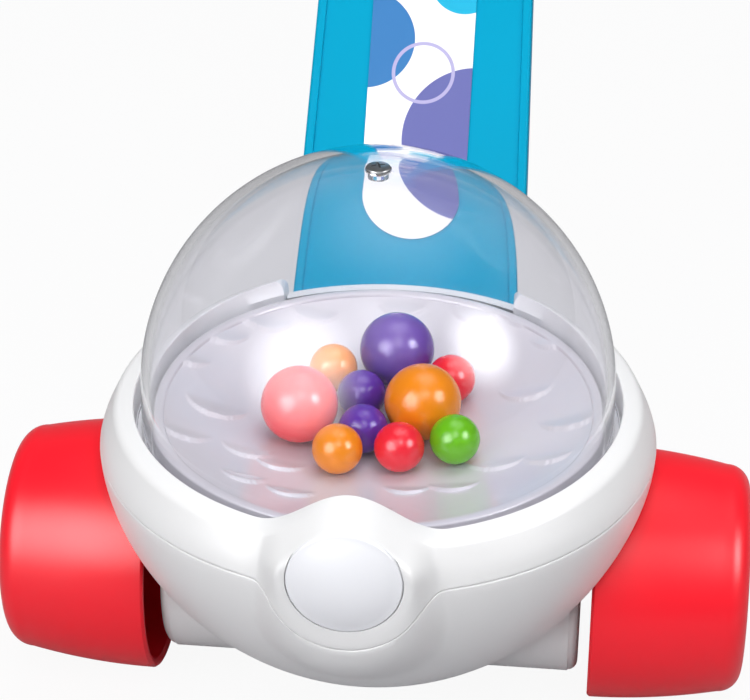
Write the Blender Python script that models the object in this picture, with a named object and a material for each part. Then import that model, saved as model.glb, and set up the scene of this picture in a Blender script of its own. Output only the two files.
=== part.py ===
"""Toddler push toy: a clear dome of jumping balls on two barrel wheels, with a flat push handle.

Metres, +Z up, front at -Y. The origin is on the floor, in the middle of the toy's length and width.
Lengths along Y are measured from the axle, and one empty moves the whole toy to its origin.
"""

import math

import bmesh
import bpy
import numpy as np
from mathutils import Matrix, Vector

# Fits
FIT = 0.0003
RUNNING_GAP = 0.0005
CUT_MARGIN = 0.01

# Wheels and axle
WHEEL_RADIUS = 0.0396
WHEEL_TAPER = 0.0058
WHEEL_WIDTH = 0.047
WHEEL_WALL = 0.0028
WHEEL_EDGE = 0.007
WHEEL_SIDE_GAP = 0.0034
HUB_RADIUS = 0.008
AXLE_RADIUS = 0.003
HUB_BORE_DEPTH = 0.036
BUSHING_WALL = 0.0022
BUSHING_FLANGE = 0.0014

# Lower shell
SHELL_WALL = 0.0026
BOWL_DEPTH = 0.079
BOWL_FULLNESS = 1.8
TUNNEL_RADIUS = 0.032
TUNNEL_INSET = 0.0205
TUNNEL_BLEND = 0.006
WELL_CLEARANCE = 0.0025
ARCH_MARGIN = 0.0025
HEEL_HALF = 0.026
HEEL_ROOT = 0.047
HEEL_SPLAY = 0.0155
HEEL_LENGTH = 0.022
HEEL_WALL = 0.003

# Dome, tray and ring
DOME_RADIUS = 0.0718
DOME_LIFT = 0.0062
DOME_WALL = 0.0024
DOME_GAP = 0.0024
DOME_SKIRT = 0.009
DOME_FLANGE = 0.0022
TRAY_GAP = 0.0005
TRAY_WALL = 0.0024
TRAY_LIP = 0.0035
TRAY_LIP_STEP = 0.001
TRAY_DISH = 0.012
STRIKER_HOLE = 0.0098
RING_WIDTH = 0.0108
RING_RISE = 0.002
RING_TOP_WIDTH = 0.0058
RING_TOP_DROP = 0.0012
CREST_ROUND = 0.0018
RING_DROP = 0.0112
RING_WALL = 0.0028
REAR_RISE = 0.0028
REAR_START = math.radians(95)
REAR_FULL = math.radians(160)
BAND_DROP = 0.0096
BAND_EDGE = 0.0008
CREASE_ROUND = 0.0028
CREASE_INSET = 0.0009
LEDGE_WIDTH = 0.0105
LEDGE_THICK = 0.0024
NOTCH_INSET = 0.0015
NOTCH_DROP = 0.006
NOTCH_ROUND = 0.005

# Badge boss, which the ring's hump runs into
BADGE_RADIUS = 0.0163
BADGE_THICK = 0.0022
BADGE_SEAT = 0.0012
BOSS_MARGIN = 0.0067
BOSS_DROP = 0.005
BOSS_PROUD = 0.0042
BOSS_FLAT_MARGIN = 0.0022
BOSS_BLEND_SIDE = 0.007
BOSS_BLEND_BELOW = 0.0335
SEAM_CORNER = 0.007
HUMP_RISE = 0.0126
HUMP_HALF = 0.0275
HUMP_DROP = 0.0034

# Crown screw
SCREW_RADIUS = 0.0014
SCREW_LENGTH = 0.003
SCREW_HEAD = 0.0036
SCREW_HEAD_THICK = 0.0018
SCREW_BOSS_WALL = 0.0016

# Handle
HANDLE_LEAN = math.radians(37.2)
HANDLE_BEHIND = 0.0033
HANDLE_SUNK = 0.0022
SOCKET_DEPTH = 0.022
SOCKET_WALL = 0.0045
SOCKET_TOP_GAP = 0.003
SOCKET_ROUND = 0.002
STICK_LENGTH = 0.452
STICK_THICK = 0.015
STICK_FOOT_HALF = 0.040
STICK_TOP_HALF = 0.0283
STICK_WALL = 0.0024
STICK_RIBS = 5
RAIL_WIDTH = 0.0032
RAIL_HEIGHT = 0.0012
LABEL_HALF = 0.0177
LABEL_THICK = 0.0004
LABEL_FOOT = 0.0433
LABEL_TOP_MARGIN = 0.075
GRIP_HALF = 0.048
GRIP_HEIGHT = 0.072
GRIP_CORNER = 0.026
GRIP_RADIUS = 0.0082
GRIP_SOCKET = 0.034
GRIP_WALL = 0.0026

# Popping mechanism
CAM_RADIUS = 0.0105
CAM_LOBE = 0.0035
CAM_LOBES = 3
CAM_WIDTH = 0.012
HAMMER_REACH = 0.040
HAMMER_HALF = 0.006
HAMMER_THICK = 0.005
HAMMER_BOSS = 0.0048
PIN_RADIUS = 0.002
LUG_THICK = 0.0035
LUG_HALF = 0.0052
PAD_RADIUS = 0.008
PAD_THICK = 0.003
PAD_SINK = 0.0067
SPRING_RADIUS = 0.0035
SPRING_WIRE = 0.0006
SPRING_TURNS = 4
SPRING_AT = 0.018

# Balls: radii, and where each lies on the tray, with its colour
BIG_BALL = 0.0118
SMALL_BALL = 0.0076
BALLS = (
    ("ball_purple_big", BIG_BALL, 0.0025, 0.0255, "purple"),
    ("ball_red_big", BIG_BALL, -0.0225, -0.0075, "red"),
    ("ball_orange_big", BIG_BALL, 0.0135, -0.002, "orange"),
    ("ball_orange_back", SMALL_BALL, -0.015, 0.021, "orange"),
    ("ball_purple_back", SMALL_BALL, -0.006, 0.011, "purple"),
    ("ball_purple_front", SMALL_BALL, -0.003, -0.0105, "purple"),
    ("ball_orange_front", SMALL_BALL, -0.009, -0.0235, "orange"),
    ("ball_red_front", SMALL_BALL, 0.0085, -0.021, "red"),
    ("ball_green_front", SMALL_BALL, 0.0235, -0.015, "green"),
    ("ball_red_back", SMALL_BALL, 0.0195, 0.018, "red"),
)

# Facets
ROUND_STEPS = 48
FINE_PARTS = 3
FINE_REACH = 22.5
WHEEL_STEPS = 28
SMALL_STEPS = 16

# Heights and places that follow from the sizes above
RING_BORE = DOME_RADIUS + DOME_GAP
RING_RADIUS = RING_BORE + RING_WIDTH
TUNNEL_HALF = RING_RADIUS - TUNNEL_INSET
AXLE_Z = WHEEL_RADIUS
CORE_Z = AXLE_Z + TUNNEL_RADIUS / 5
WHEEL_INNER_X = TUNNEL_HALF + WHEEL_SIDE_GAP
WHEEL_OUTER_X = WHEEL_INNER_X + WHEEL_WIDTH
WELL_RADIUS = WHEEL_RADIUS + WELL_CLEARANCE
SEAM_Z = AXLE_Z + WELL_RADIUS + SHELL_WALL + ARCH_MARGIN
RIM_Z = SEAM_Z + RING_DROP
DOME_Z = RIM_Z + DOME_LIFT
LEDGE_Z = RIM_Z - DOME_SKIRT - FIT
TRAY_RADIUS = DOME_RADIUS - DOME_WALL - TRAY_GAP
DISH_RADIUS = TRAY_RADIUS - TRAY_LIP
BOSS_Z = RIM_Z - BOSS_DROP
BOSS_RADIUS = BADGE_RADIUS + BOSS_MARGIN
BOSS_FLAT = BADGE_RADIUS + BOSS_FLAT_MARGIN
BOSS_FACE_Y = -(RING_RADIUS + BOSS_PROUD)
BADGE_BACK_Y = BOSS_FACE_Y + BADGE_SEAT - FIT
HANDLE_UP = Vector((0.0, math.sin(HANDLE_LEAN), math.cos(HANDLE_LEAN)))
HANDLE_FOOT = Vector((0.0, RING_RADIUS + HANDLE_BEHIND, SEAM_Z - HANDLE_SUNK)) - SOCKET_DEPTH * HANDLE_UP
GRIP_LOW = STICK_LENGTH + GRIP_RADIUS


def tray_height(radius):
    """Height of the dished floor at this distance from its middle."""
    return RIM_Z - TRAY_LIP_STEP - TRAY_DISH * (1 - (radius / DISH_RADIUS) ** 2)


def handle_point(depth, along):
    """Place of a point of the leaning handle, measured behind its front face and up from its foot."""
    turn = Matrix.Rotation(-HANDLE_LEAN, 4, "X")
    return HANDLE_FOOT + turn @ Vector((0.0, depth, along))


def middle_y():
    """Middle of the toy's length, from the badge's face to the grip's far side."""
    front = BADGE_BACK_Y - BADGE_THICK
    rear = handle_point(STICK_THICK / 2, GRIP_LOW + GRIP_HEIGHT).y + GRIP_RADIUS
    return (front + rear) / 2


TOY = "toy"
PIVOT_Z = tray_height(0) - PAD_SINK - PAD_THICK - FIT - HAMMER_THICK / 2


def clear_scene():
    for obj in list(bpy.data.objects):
        bpy.data.objects.remove(obj, do_unlink=True)


def material(name, colour, roughness, metallic=0.0, transmission=0.0):
    made = bpy.data.materials.get(name)
    if made:
        return made
    made = bpy.data.materials.new(name)
    made.use_nodes = True
    shader = made.node_tree.nodes["Principled BSDF"]
    shader.inputs["Base Color"].default_value = (*colour, 1.0)
    shader.inputs["Roughness"].default_value = roughness
    shader.inputs["Metallic"].default_value = metallic
    shader.inputs["Transmission Weight"].default_value = transmission
    made.diffuse_color = (*colour, 1.0)
    return made


COLOURS = {
    "white": (0.80, 0.79, 0.78),
    "red": (0.80, 0.02, 0.03),
    "turquoise": (0.0, 0.40, 0.62),
    "lavender": (0.58, 0.56, 0.65),
    "purple": (0.15, 0.06, 0.36),
    "orange": (0.85, 0.30, 0.02),
    "green": (0.09, 0.44, 0.02),
    "print": (0.85, 0.85, 0.88),
    "dark": (0.06, 0.06, 0.07),
}


def plastic(colour):
    return material(f"{colour}_plastic", COLOURS[colour], 0.35)


def clear_plastic():
    return material("clear_plastic", (0.97, 0.97, 1.0), 0.03, transmission=1.0)


def steel():
    return material("steel", (0.55, 0.55, 0.56), 0.3, metallic=1.0)


def add_object(name, bm, look=None, parent=None, cutter=False):
    """Closes a bmesh into an object; a cutter is only a guide for a Boolean."""
    bmesh.ops.recalc_face_normals(bm, faces=bm.faces)
    mesh = bpy.data.meshes.new(name)
    bm.to_mesh(mesh)
    bm.free()
    mesh.shade_smooth()
    mesh.set_sharp_from_angle(angle=math.radians(35))
    obj = bpy.data.objects.new(name, mesh)
    bpy.context.scene.collection.objects.link(obj)
    if look:
        mesh.materials.append(look)
    obj.parent = parent or bpy.data.objects[TOY]
    if cutter:
        obj.hide_render = True
        obj.display_type = "WIRE"
    return obj


def add_empty(name, location, rotation=(0.0, 0.0, 0.0)):
    whole = bpy.data.objects.get(TOY)
    empty = bpy.data.objects.new(name, None)
    empty.location = location
    empty.rotation_euler = rotation
    empty.parent = whole
    bpy.context.scene.collection.objects.link(empty)
    return empty


def combine(target, other, operation):
    change = target.modifiers.new(f"{operation.lower()}_{other.name}", "BOOLEAN")
    change.operation = operation
    change.solver = "EXACT"
    change.object = other
    return target


def cut(target, *others):
    for other in others:
        combine(target, other, "DIFFERENCE")
    return target


def join(target, *others):
    for other in others:
        combine(target, other, "UNION")
    return target


def rounded(obj, width):
    """Rounds the sharp edges of a solid before it is joined to another."""
    bevel = obj.modifiers.new("rounding", "BEVEL")
    bevel.width = width
    bevel.segments = 2
    bevel.limit_method = "ANGLE"
    return obj


def arc(centre, radius, start, end, steps):
    """Points of an arc in a plane, from one angle to another in degrees."""
    points = []
    for step in range(steps + 1):
        angle = math.radians(start + (end - start) * step / steps)
        points.append((centre[0] + radius * math.cos(angle), centre[1] + radius * math.sin(angle)))
    return points


def revolved(outline, steps, axis="Z"):
    """A closed outline of (radius, height) turned about an axis. A radius of 0 becomes a pole."""
    bm = bmesh.new()
    rings = []
    for radius, height in outline:
        ring = []
        count = steps if radius > 1e-7 else 1
        for step in range(count):
            angle = 2 * math.pi * step / steps
            across, along = radius * math.cos(angle), radius * math.sin(angle)
            place = (height, across, along) if axis == "X" else (across, along, height)
            ring.append(bm.verts.new(place))
        rings.append(ring)
    for ring, following in zip(rings, rings[1:] + rings[:1]):
        if len(ring) == len(following) == 1:
            continue
        for step in range(steps):
            onward = (step + 1) % steps
            corners = [ring[step % len(ring)], ring[onward % len(ring)]]
            corners += [following[onward % len(following)], following[step % len(following)]]
            bm.faces.new(list(dict.fromkeys(corners)))
    return bm


def extruded(outline, low, high, axis):
    """A flat outline pushed along an axis: (y, z) along X, (x, z) along Y or (x, y) along Z."""
    place = {
        "X": lambda a, b, depth: (depth, a, b),
        "Y": lambda a, b, depth: (a, depth, b),
        "Z": lambda a, b, depth: (a, b, depth),
    }[axis]
    bm = bmesh.new()
    ends = [[bm.verts.new(place(a, b, depth)) for a, b in outline] for depth in (low, high)]
    bm.faces.new(ends[0])
    bm.faces.new(ends[1])
    for index in range(len(outline)):
        onward = (index + 1) % len(outline)
        bm.faces.new((ends[0][index], ends[0][onward], ends[1][onward], ends[1][index]))
    return bm


def rod(radius, low, high, axis="Z", centre=(0.0, 0.0), steps=SMALL_STEPS):
    """A round bar along an axis, with its middle at two coordinates of the plane across it."""
    return extruded(arc(centre, radius, 0, 360 - 360 / steps, steps - 1), low, high, axis)


def rectangle(low_a, high_a, low_b, high_b):
    return [(low_a, low_b), (high_a, low_b), (high_a, high_b), (low_a, high_b)]


def swept_loop(path, radius, sides):
    """A round bar that follows a closed path of points in the XZ plane."""
    bm = bmesh.new()
    rings = []
    for index, point in enumerate(path):
        before, after = Vector(path[index - 1]), Vector(path[(index + 1) % len(path)])
        along = (after - before).normalized()
        outward = Vector((along.y, -along.x))
        ring = []
        for side in range(sides):
            angle = 2 * math.pi * side / sides
            out = radius * math.cos(angle)
            spot = (point[0] + out * outward.x, radius * math.sin(angle), point[1] + out * outward.y)
            ring.append(bm.verts.new(spot))
        rings.append(ring)
    for ring, following in zip(rings, rings[1:] + rings[:1]):
        for side in range(sides):
            onward = (side + 1) % sides
            bm.faces.new((ring[side], ring[onward], following[onward], following[side]))
    return bm


def barrel_radius(x, wall=0.0):
    """Outside radius of a wheel, largest at its inner end, less a wall."""
    share = (x - WHEEL_INNER_X) / WHEEL_WIDTH
    return WHEEL_RADIUS - WHEEL_TAPER * share**2 - wall


def wheel_outline():
    """(radius, x) of one hollow wheel with its hub and blind bore."""
    bend = WHEEL_OUTER_X - WHEEL_EDGE
    edge = barrel_radius(bend)
    inside_end = WHEEL_OUTER_X - WHEEL_WALL
    outline = [(0.0, WHEEL_OUTER_X)]
    outline += [(r, x) for r, x in arc((edge - WHEEL_EDGE, bend), WHEEL_EDGE, 90, 0, 4)]
    spans = 4
    for step in range(1, spans + 1):
        x = bend - (bend - WHEEL_INNER_X) * step / spans
        outline.append((barrel_radius(x), x))
    for step in range(0, spans + 1, 2):
        x = WHEEL_INNER_X + (bend - WHEEL_INNER_X) * step / spans
        outline.append((barrel_radius(x, WHEEL_WALL), x))
    outline.append((edge - WHEEL_EDGE, inside_end))
    outline.append((HUB_RADIUS, inside_end))
    outline.append((HUB_RADIUS, WHEEL_INNER_X))
    bore = AXLE_RADIUS + FIT
    outline.append((bore, WHEEL_INNER_X))
    outline.append((bore, WHEEL_INNER_X + HUB_BORE_DEPTH))
    outline.append((0.0, WHEEL_INNER_X + HUB_BORE_DEPTH))
    return outline


def make_wheels(wheel_set):
    for name, side in (("wheel_left", -1), ("wheel_right", 1)):
        outline = [(radius, side * x) for radius, x in wheel_outline()]
        add_object(name, revolved(outline, WHEEL_STEPS, "X"), plastic("red"), wheel_set)


def make_axle(wheel_set):
    half = WHEEL_INNER_X + HUB_BORE_DEPTH - FIT
    add_object("axle", rod(AXLE_RADIUS, -half, half, "X"), steel(), wheel_set)
    steps = 18 * CAM_LOBES
    outline = []
    for step in range(steps):
        angle = 2 * math.pi * step / steps
        reach = CAM_RADIUS + CAM_LOBE * math.cos(CAM_LOBES * angle)
        outline.append((-reach * math.sin(angle), reach * math.cos(angle)))
    half_width = CAM_WIDTH / 2
    cam = add_object("cam", extruded(outline, -half_width, half_width, "X"), plastic("white"), wheel_set)
    bore = rod(AXLE_RADIUS + FIT, -CAM_WIDTH, CAM_WIDTH, "X")
    cut(cam, add_object("cam_bore", bore, parent=wheel_set, cutter=True))


def make_bushings():
    bore = AXLE_RADIUS + FIT
    barrel = bore + BUSHING_WALL
    inner = TUNNEL_HALF - SHELL_WALL - FIT
    flange = TUNNEL_HALF + FIT
    outer = flange + BUSHING_FLANGE
    for name, side in (("bushing_left", -1), ("bushing_right", 1)):
        outline = [(bore, inner), (barrel, inner), (barrel, flange)]
        outline += [(barrel + BUSHING_WALL, flange), (barrel + BUSHING_WALL, outer), (bore, outer)]
        outline = [(radius, side * x) for radius, x in outline]
        bushing = add_object(name, revolved(outline, SMALL_STEPS, "X"), plastic("dark"))
        bushing.location.z = AXLE_Z


def bowl_outline(wall, top):
    """(radius, height) of the bowl's rounded side down to its middle, less a wall."""
    radius, depth = RING_RADIUS - wall, BOWL_DEPTH - wall
    outline = [(0.0, top), (radius, top)]
    spans = 9
    for step in range(spans + 1):
        drop = math.sin(math.pi / 2 * step / spans)
        share = max(0.0, 1 - drop**BOWL_FULLNESS) ** (1 / BOWL_FULLNESS)
        outline.append((radius * share, SEAM_Z - FIT - depth * drop))
    return outline


def smoothstep(low, high, value):
    share = np.clip((value - low) / (high - low), 0.0, 1.0)
    return share * share * (3 - 2 * share)


def smooth_min(first, second, width):
    """The lesser of two fields, rounded over where they cross."""
    share = np.clip(0.5 + 0.5 * (second - first) / width, 0.0, 1.0)
    return second + (first - second) * share - width * share * (1 - share)


def crossing(inside, outside, field):
    """Where a field rises through zero between two values, for each column."""
    low, high = inside, outside
    for _ in range(40):
        middle = (low + high) / 2
        within = field(middle) < 0
        low = np.where(within, middle, low)
        high = np.where(within, high, middle)
    return (low + high) / 2


def column_angles():
    """Angles round the dome from the front, in steps of the dome's facets, with more of them at the badge."""
    step = 360 / ROUND_STEPS
    angles = []
    for index in range(ROUND_STEPS):
        angle = -180 + step * index
        parts = FINE_PARTS if -FINE_REACH <= angle < FINE_REACH else 1
        angles += [angle + step * part / parts for part in range(parts)]
    return np.radians(angles)


def around(radius, angles, height):
    """Points at a radius and a height for each column, with angle 0 at the front."""
    flat = radius * np.ones_like(angles)
    return np.stack([flat * np.sin(angles), -flat * np.cos(angles), height * np.ones_like(angles)], axis=-1)


def toward(start, end, length):
    way = end - start
    return start + way * (length / np.linalg.norm(way, axis=-1, keepdims=True))


def bulge(points):
    """Points of the outer skin, drawn out to the badge's flat face where they are near it."""
    x, y, z = points[..., 0], points[..., 1], points[..., 2]
    reach = np.hypot(x, z - BOSS_Z)
    below = np.clip((BOSS_Z - z) / np.maximum(reach, FIT), 0.0, 1.0) ** 2
    blend = BOSS_BLEND_SIDE + (BOSS_BLEND_BELOW - BOSS_BLEND_SIDE) * below
    weight = (1 - smoothstep(BOSS_FLAT, BOSS_FLAT + blend, reach)) * (y < 0)
    drawn = points.copy()
    drawn[..., 1] = y + (BOSS_FACE_Y - y) * weight
    return drawn


def seam_heights(angles):
    """Height of the line between ring and bowl, which dips round the badge."""
    x = RING_RADIUS * np.sin(angles)

    def field(z):
        return smooth_min(SEAM_Z - z, np.hypot(x, z - BOSS_Z) - BOSS_RADIUS, SEAM_CORNER)

    lowest = BOSS_Z - BOSS_RADIUS - SEAM_CORNER
    dipped = crossing(np.full_like(x, RIM_Z), np.full_like(x, lowest), field)
    return np.where(np.cos(angles) > 0, dipped, SEAM_Z)


def swept(rows, closed):
    """A mesh through rows of points that each run once round the dome; ends that stay open get a cap."""
    bm = bmesh.new()
    made = [[bm.verts.new(point) for point in row] for row in rows]
    pairs = list(zip(made, made[1:]))
    if closed:
        pairs.append((made[-1], made[0]))
    count = len(made[0])
    for row, following in pairs:
        for index in range(count):
            onward = (index + 1) % count
            bm.faces.new((row[index], row[onward], following[onward], following[index]))
    for row in [] if closed else (made[0], made[-1]):
        middle = bm.verts.new(sum((vert.co for vert in row), Vector()) / count)
        for index in range(count):
            bm.faces.new((row[index], row[(index + 1) % count], middle))
    return bm


def shell_field(points):
    """Below zero inside the bowl and the axle tunnel, which run smoothly into each other."""
    x, y, z = points[..., 0], points[..., 1], points[..., 2]
    drop = np.clip(SEAM_Z - z, 0.0, None) / BOWL_DEPTH
    out = np.hypot(x, y) / RING_RADIUS
    bowl = ((out**BOWL_FULLNESS + drop**BOWL_FULLNESS) ** (1 / BOWL_FULLNESS) - 1) * BOWL_DEPTH
    tunnel = np.maximum(np.hypot(y, z - AXLE_Z) - TUNNEL_RADIUS, np.abs(x) - RING_RADIUS)
    return smooth_min(bowl, tunnel, TUNNEL_BLEND)


def shell_rows():
    """Rows of the bowl's outer skin, from inside its seam down to its lowest part."""
    angles = column_angles()
    seam = seam_heights(angles) - FIT
    nothing, far = np.zeros_like(angles), np.full_like(angles, 2 * RING_RADIUS)
    edge = crossing(nothing, far, lambda radius: shell_field(around(radius, angles, seam)))
    start = np.arctan2(seam - CORE_Z, edge)
    rows = [around(RING_BORE, angles, seam)]
    spans = 12
    for step in range(spans):
        tilt = start - (start + math.pi / 2) * step / spans
        flat, rise = np.cos(tilt), np.sin(tilt)
        length = crossing(
            nothing, far, lambda reach: shell_field(around(reach * flat, angles, CORE_Z + reach * rise))
        )
        rows.append(bulge(around(length * flat, angles, CORE_Z + length * rise)))
    return rows


def well(side, wall):
    """The space of one wheel in the bowl's side, grown by a wall."""
    inner, outer = TUNNEL_HALF - wall, WHEEL_OUTER_X
    low, high = (inner, outer) if side > 0 else (-outer, -inner)
    return rod(WELL_RADIUS + wall, low, high, "X", (0.0, AXLE_Z), WHEEL_STEPS)


def heel_outline():
    """(y, z) of the rear leg, from the bowl and the handle's socket down to the floor."""
    middle = handle_point(STICK_THICK / 2, 0.0)
    back = handle_point(STICK_THICK + SOCKET_WALL, 0.0)
    foot = back.y + HEEL_SPLAY
    upper = [(HEEL_ROOT, AXLE_Z), (middle.y, middle.z), (back.y, back.z)]
    return upper + [(foot, 0.0), (foot - HEEL_LENGTH, 0.0)]


def heel_pocket():
    """(y, z) of the hollow in the rear leg, open to the floor and closed at the axle's height."""
    root, _, back, foot, toe = heel_outline()
    top = AXLE_Z - HEEL_WALL
    rear = foot[0] + (back[0] - foot[0]) * top / back[1]
    front = toe[0] + (root[0] - toe[0]) * top / root[1]
    return [
        (front + 2 * HEEL_WALL, top),
        (rear - HEEL_WALL, top),
        (foot[0] - HEEL_WALL, -HEEL_WALL),
        (toe[0] + HEEL_WALL, -HEEL_WALL),
    ]


def make_lower_shell(handle):
    shell = add_object("lower_shell", swept(shell_rows(), closed=False), plastic("white"))
    cut(shell, *(add_object(f"well_{side}", well(side, 0.0), cutter=True) for side in (-1, 1)))
    heel = extruded(heel_outline(), -HEEL_HALF, HEEL_HALF, "X")
    join(shell, add_object("heel_body", heel, cutter=True))

    hollow = revolved(bowl_outline(SHELL_WALL, SEAM_Z + CUT_MARGIN), ROUND_STEPS // 2)
    hollow = add_object("bowl_hollow", hollow, cutter=True)
    cut(hollow, *(add_object(f"well_wall_{side}", well(side, SHELL_WALL), cutter=True) for side in (-1, 1)))
    inner_half = TUNNEL_HALF - SHELL_WALL
    bore = rod(TUNNEL_RADIUS - SHELL_WALL, -inner_half, inner_half, "X", (0.0, AXLE_Z), WHEEL_STEPS)
    join(hollow, add_object("tunnel_hollow", bore, cutter=True))
    cut(shell, hollow)
    pocket_half = HEEL_HALF - HEEL_WALL
    pocket = extruded(heel_pocket(), -pocket_half, pocket_half, "X")
    cut(shell, add_object("heel_pocket", pocket, cutter=True))

    socket = stick_outline(SOCKET_WALL, -SOCKET_WALL, SOCKET_DEPTH - SOCKET_TOP_GAP)
    socket = extruded(socket, -SOCKET_WALL, STICK_THICK + SOCKET_WALL, "Y")
    join(shell, rounded(add_object("socket_body", socket, parent=handle, cutter=True), SOCKET_ROUND))
    slot = extruded(stick_outline(FIT, -FIT, STICK_LENGTH), -FIT, STICK_THICK + FIT, "Y")
    cut(shell, add_object("socket_slot", slot, parent=handle, cutter=True))
    hole = AXLE_RADIUS + FIT + BUSHING_WALL + FIT
    reach = TUNNEL_HALF + CUT_MARGIN
    cut(shell, add_object("axle_hole", rod(hole, -reach, reach, "X", (0.0, AXLE_Z)), cutter=True))


def ring_rows():
    """Rows of the ring's hollow section: ledge, bore, top, sloping band, wall to the seam, and inside."""
    angles = column_angles()
    x = RING_BORE * np.sin(angles)
    ahead = (np.cos(angles) > 0) & (np.abs(x) < HUMP_HALF)
    hump = np.where(ahead, 0.5 + 0.5 * np.cos(math.pi * x / HUMP_HALF), 0.0)
    rear = smoothstep(REAR_START, REAR_FULL, np.abs(angles))
    top = RIM_Z + RING_RISE + HUMP_RISE * hump + REAR_RISE * rear
    seam = seam_heights(angles)
    crease_z = top - BAND_DROP + (BAND_DROP - HUMP_DROP) * hump

    def wall_row(height):
        inset = CREASE_INSET * (height - seam) / (crease_z - seam)
        return bulge(around(RING_RADIUS - inset, angles, height))

    edge, crease = around(RING_BORE, angles, top), wall_row(crease_z)
    crest = around(RING_BORE + RING_TOP_WIDTH, angles, top - RING_TOP_DROP)
    start, near = toward(edge, crest, BAND_EDGE), toward(crest, edge, CREST_ROUND)
    far, finish = toward(crest, crease, CREST_ROUND), toward(crease, crest, CREASE_ROUND)
    below = wall_row(crease_z - CREASE_ROUND)
    rows = [around(RING_BORE - LEDGE_WIDTH, angles, LEDGE_Z), around(RING_BORE, angles, LEDGE_Z)]
    rows += [around(RING_BORE, angles, top - BAND_EDGE), start]
    rows += [near, (near + 2 * crest + far) / 4, far]
    rows += [finish, (finish + 2 * crease + below) / 4, below]
    spans = 4
    for step in range(1, spans + 1):
        rows.append(wall_row(below[:, 2] + (seam - below[:, 2]) * step / spans))
    inward = around(-RING_WALL, angles, 0.0)
    rows += [wall_row(seam) + inward, wall_row(crease_z - RING_WALL / 2) + inward]
    rows += [around(RING_BORE + RING_WALL, angles, RIM_Z - RING_WALL)]
    rows += [around(RING_BORE + RING_WALL, angles, LEDGE_Z - LEDGE_THICK)]
    rows += [around(RING_BORE - LEDGE_WIDTH, angles, LEDGE_Z - LEDGE_THICK)]
    return rows


def notch_outline():
    """(x, z) of the gap in the ring's rear that the stick shows through, its upper corners rounded off."""
    half, floor = STICK_FOOT_HALF - NOTCH_INSET, RIM_Z - NOTCH_DROP
    top = RIM_Z + RING_RISE + REAR_RISE
    right = [(half, floor)]
    right += arc((half + NOTCH_ROUND, top - NOTCH_ROUND), NOTCH_ROUND, 180, 90, 4)
    right.append((half + NOTCH_ROUND, top + CUT_MARGIN))
    return right + [(-x, z) for x, z in reversed(right)]


def make_ring():
    ring = add_object("bumper_ring", swept(ring_rows(), closed=True), plastic("white"))
    notch = extruded(notch_outline(), 0.0, RING_RADIUS + CUT_MARGIN, "Y")
    cut(ring, add_object("stick_notch", notch, cutter=True))
    seat = (BOSS_FACE_Y - CUT_MARGIN, BOSS_FACE_Y + BADGE_SEAT)
    seat = rod(BADGE_RADIUS + FIT, *seat, "Y", (0.0, BOSS_Z), WHEEL_STEPS)
    cut(ring, add_object("badge_seat", seat, cutter=True))


def stick_outline(gap, low, high):
    """(x, along) of the stick's face between two heights, grown by a gap."""
    right = [(stick_half(along) + gap, along) for along in (low, high)]
    return right + [(-half, along) for half, along in reversed(right)]


def stick_half(along):
    """Half width of the stick at this distance from its foot."""
    return STICK_FOOT_HALF + (STICK_TOP_HALF - STICK_FOOT_HALF) * along / STICK_LENGTH


def make_badge():
    disc = rod(BADGE_RADIUS, BADGE_BACK_Y - BADGE_THICK, BADGE_BACK_Y, "Y", (0.0, BOSS_Z), WHEEL_STEPS)
    add_object("badge_disc", disc, plastic("white"))


def make_tray():
    under = TRAY_WALL
    rim_inner = TRAY_RADIUS - TRAY_LIP
    foot = LEDGE_Z + FIT
    outline = [(0.0, tray_height(0.0))]
    spans = 6
    for step in range(1, spans + 1):
        radius = rim_inner * step / spans
        outline.append((radius, tray_height(radius)))
    outline += [(rim_inner, RIM_Z), (TRAY_RADIUS, RIM_Z), (TRAY_RADIUS, foot), (TRAY_RADIUS - under, foot)]
    outline.append((TRAY_RADIUS - under, RIM_Z - TRAY_LIP_STEP - under))
    for step in range(spans - 2, 0, -2):
        radius = rim_inner * step / spans
        outline.append((radius, tray_height(radius) - under))
    outline.append((0.0, tray_height(0.0) - under))
    tray = add_object("tray", revolved(outline, ROUND_STEPS), plastic("lavender"))
    lug_inner = HAMMER_HALF + RUNNING_GAP
    lug_top = tray_height(HAMMER_REACH - LUG_HALF) - under / 2
    for side in (-1, 1):
        low, high = sorted((side * lug_inner, side * (lug_inner + LUG_THICK)))
        shape = arc((HAMMER_REACH, PIVOT_Z), LUG_HALF, 180, 360, 8)
        shape += [(HAMMER_REACH + LUG_HALF, lug_top), (HAMMER_REACH - LUG_HALF, lug_top)]
        join(tray, add_object(f"lug_{side}", extruded(shape, low, high, "X"), cutter=True))
    reach = lug_inner + LUG_THICK + CUT_MARGIN
    pin_hole = rod(PIN_RADIUS + FIT, -reach, reach, "X", (HAMMER_REACH, PIVOT_Z))
    cut(tray, add_object("pin_hole", pin_hole, cutter=True))
    hole = rod(STRIKER_HOLE, LEDGE_Z - TRAY_DISH, RIM_Z, "Z", steps=ROUND_STEPS // 2)
    cut(tray, add_object("striker_hole", hole, cutter=True))


def dome_outline():
    """(radius, height) of the clear shell: outside from the crown to its flange, and inside back up."""
    inner, flange = DOME_RADIUS - DOME_WALL, RING_BORE - FIT
    skirt = RIM_Z - DOME_SKIRT
    shoulder = skirt + DOME_FLANGE
    outside = arc((0.0, DOME_Z), DOME_RADIUS, 90, 0, 9)
    inside = arc((0.0, DOME_Z), inner, 0, 90, 6)
    outside[0] = (0.0, DOME_Z + DOME_RADIUS)
    inside[-1] = (0.0, DOME_Z + inner)
    foot = [(DOME_RADIUS, shoulder), (flange, shoulder), (flange, skirt), (inner, skirt)]
    return outside + foot + inside


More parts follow.
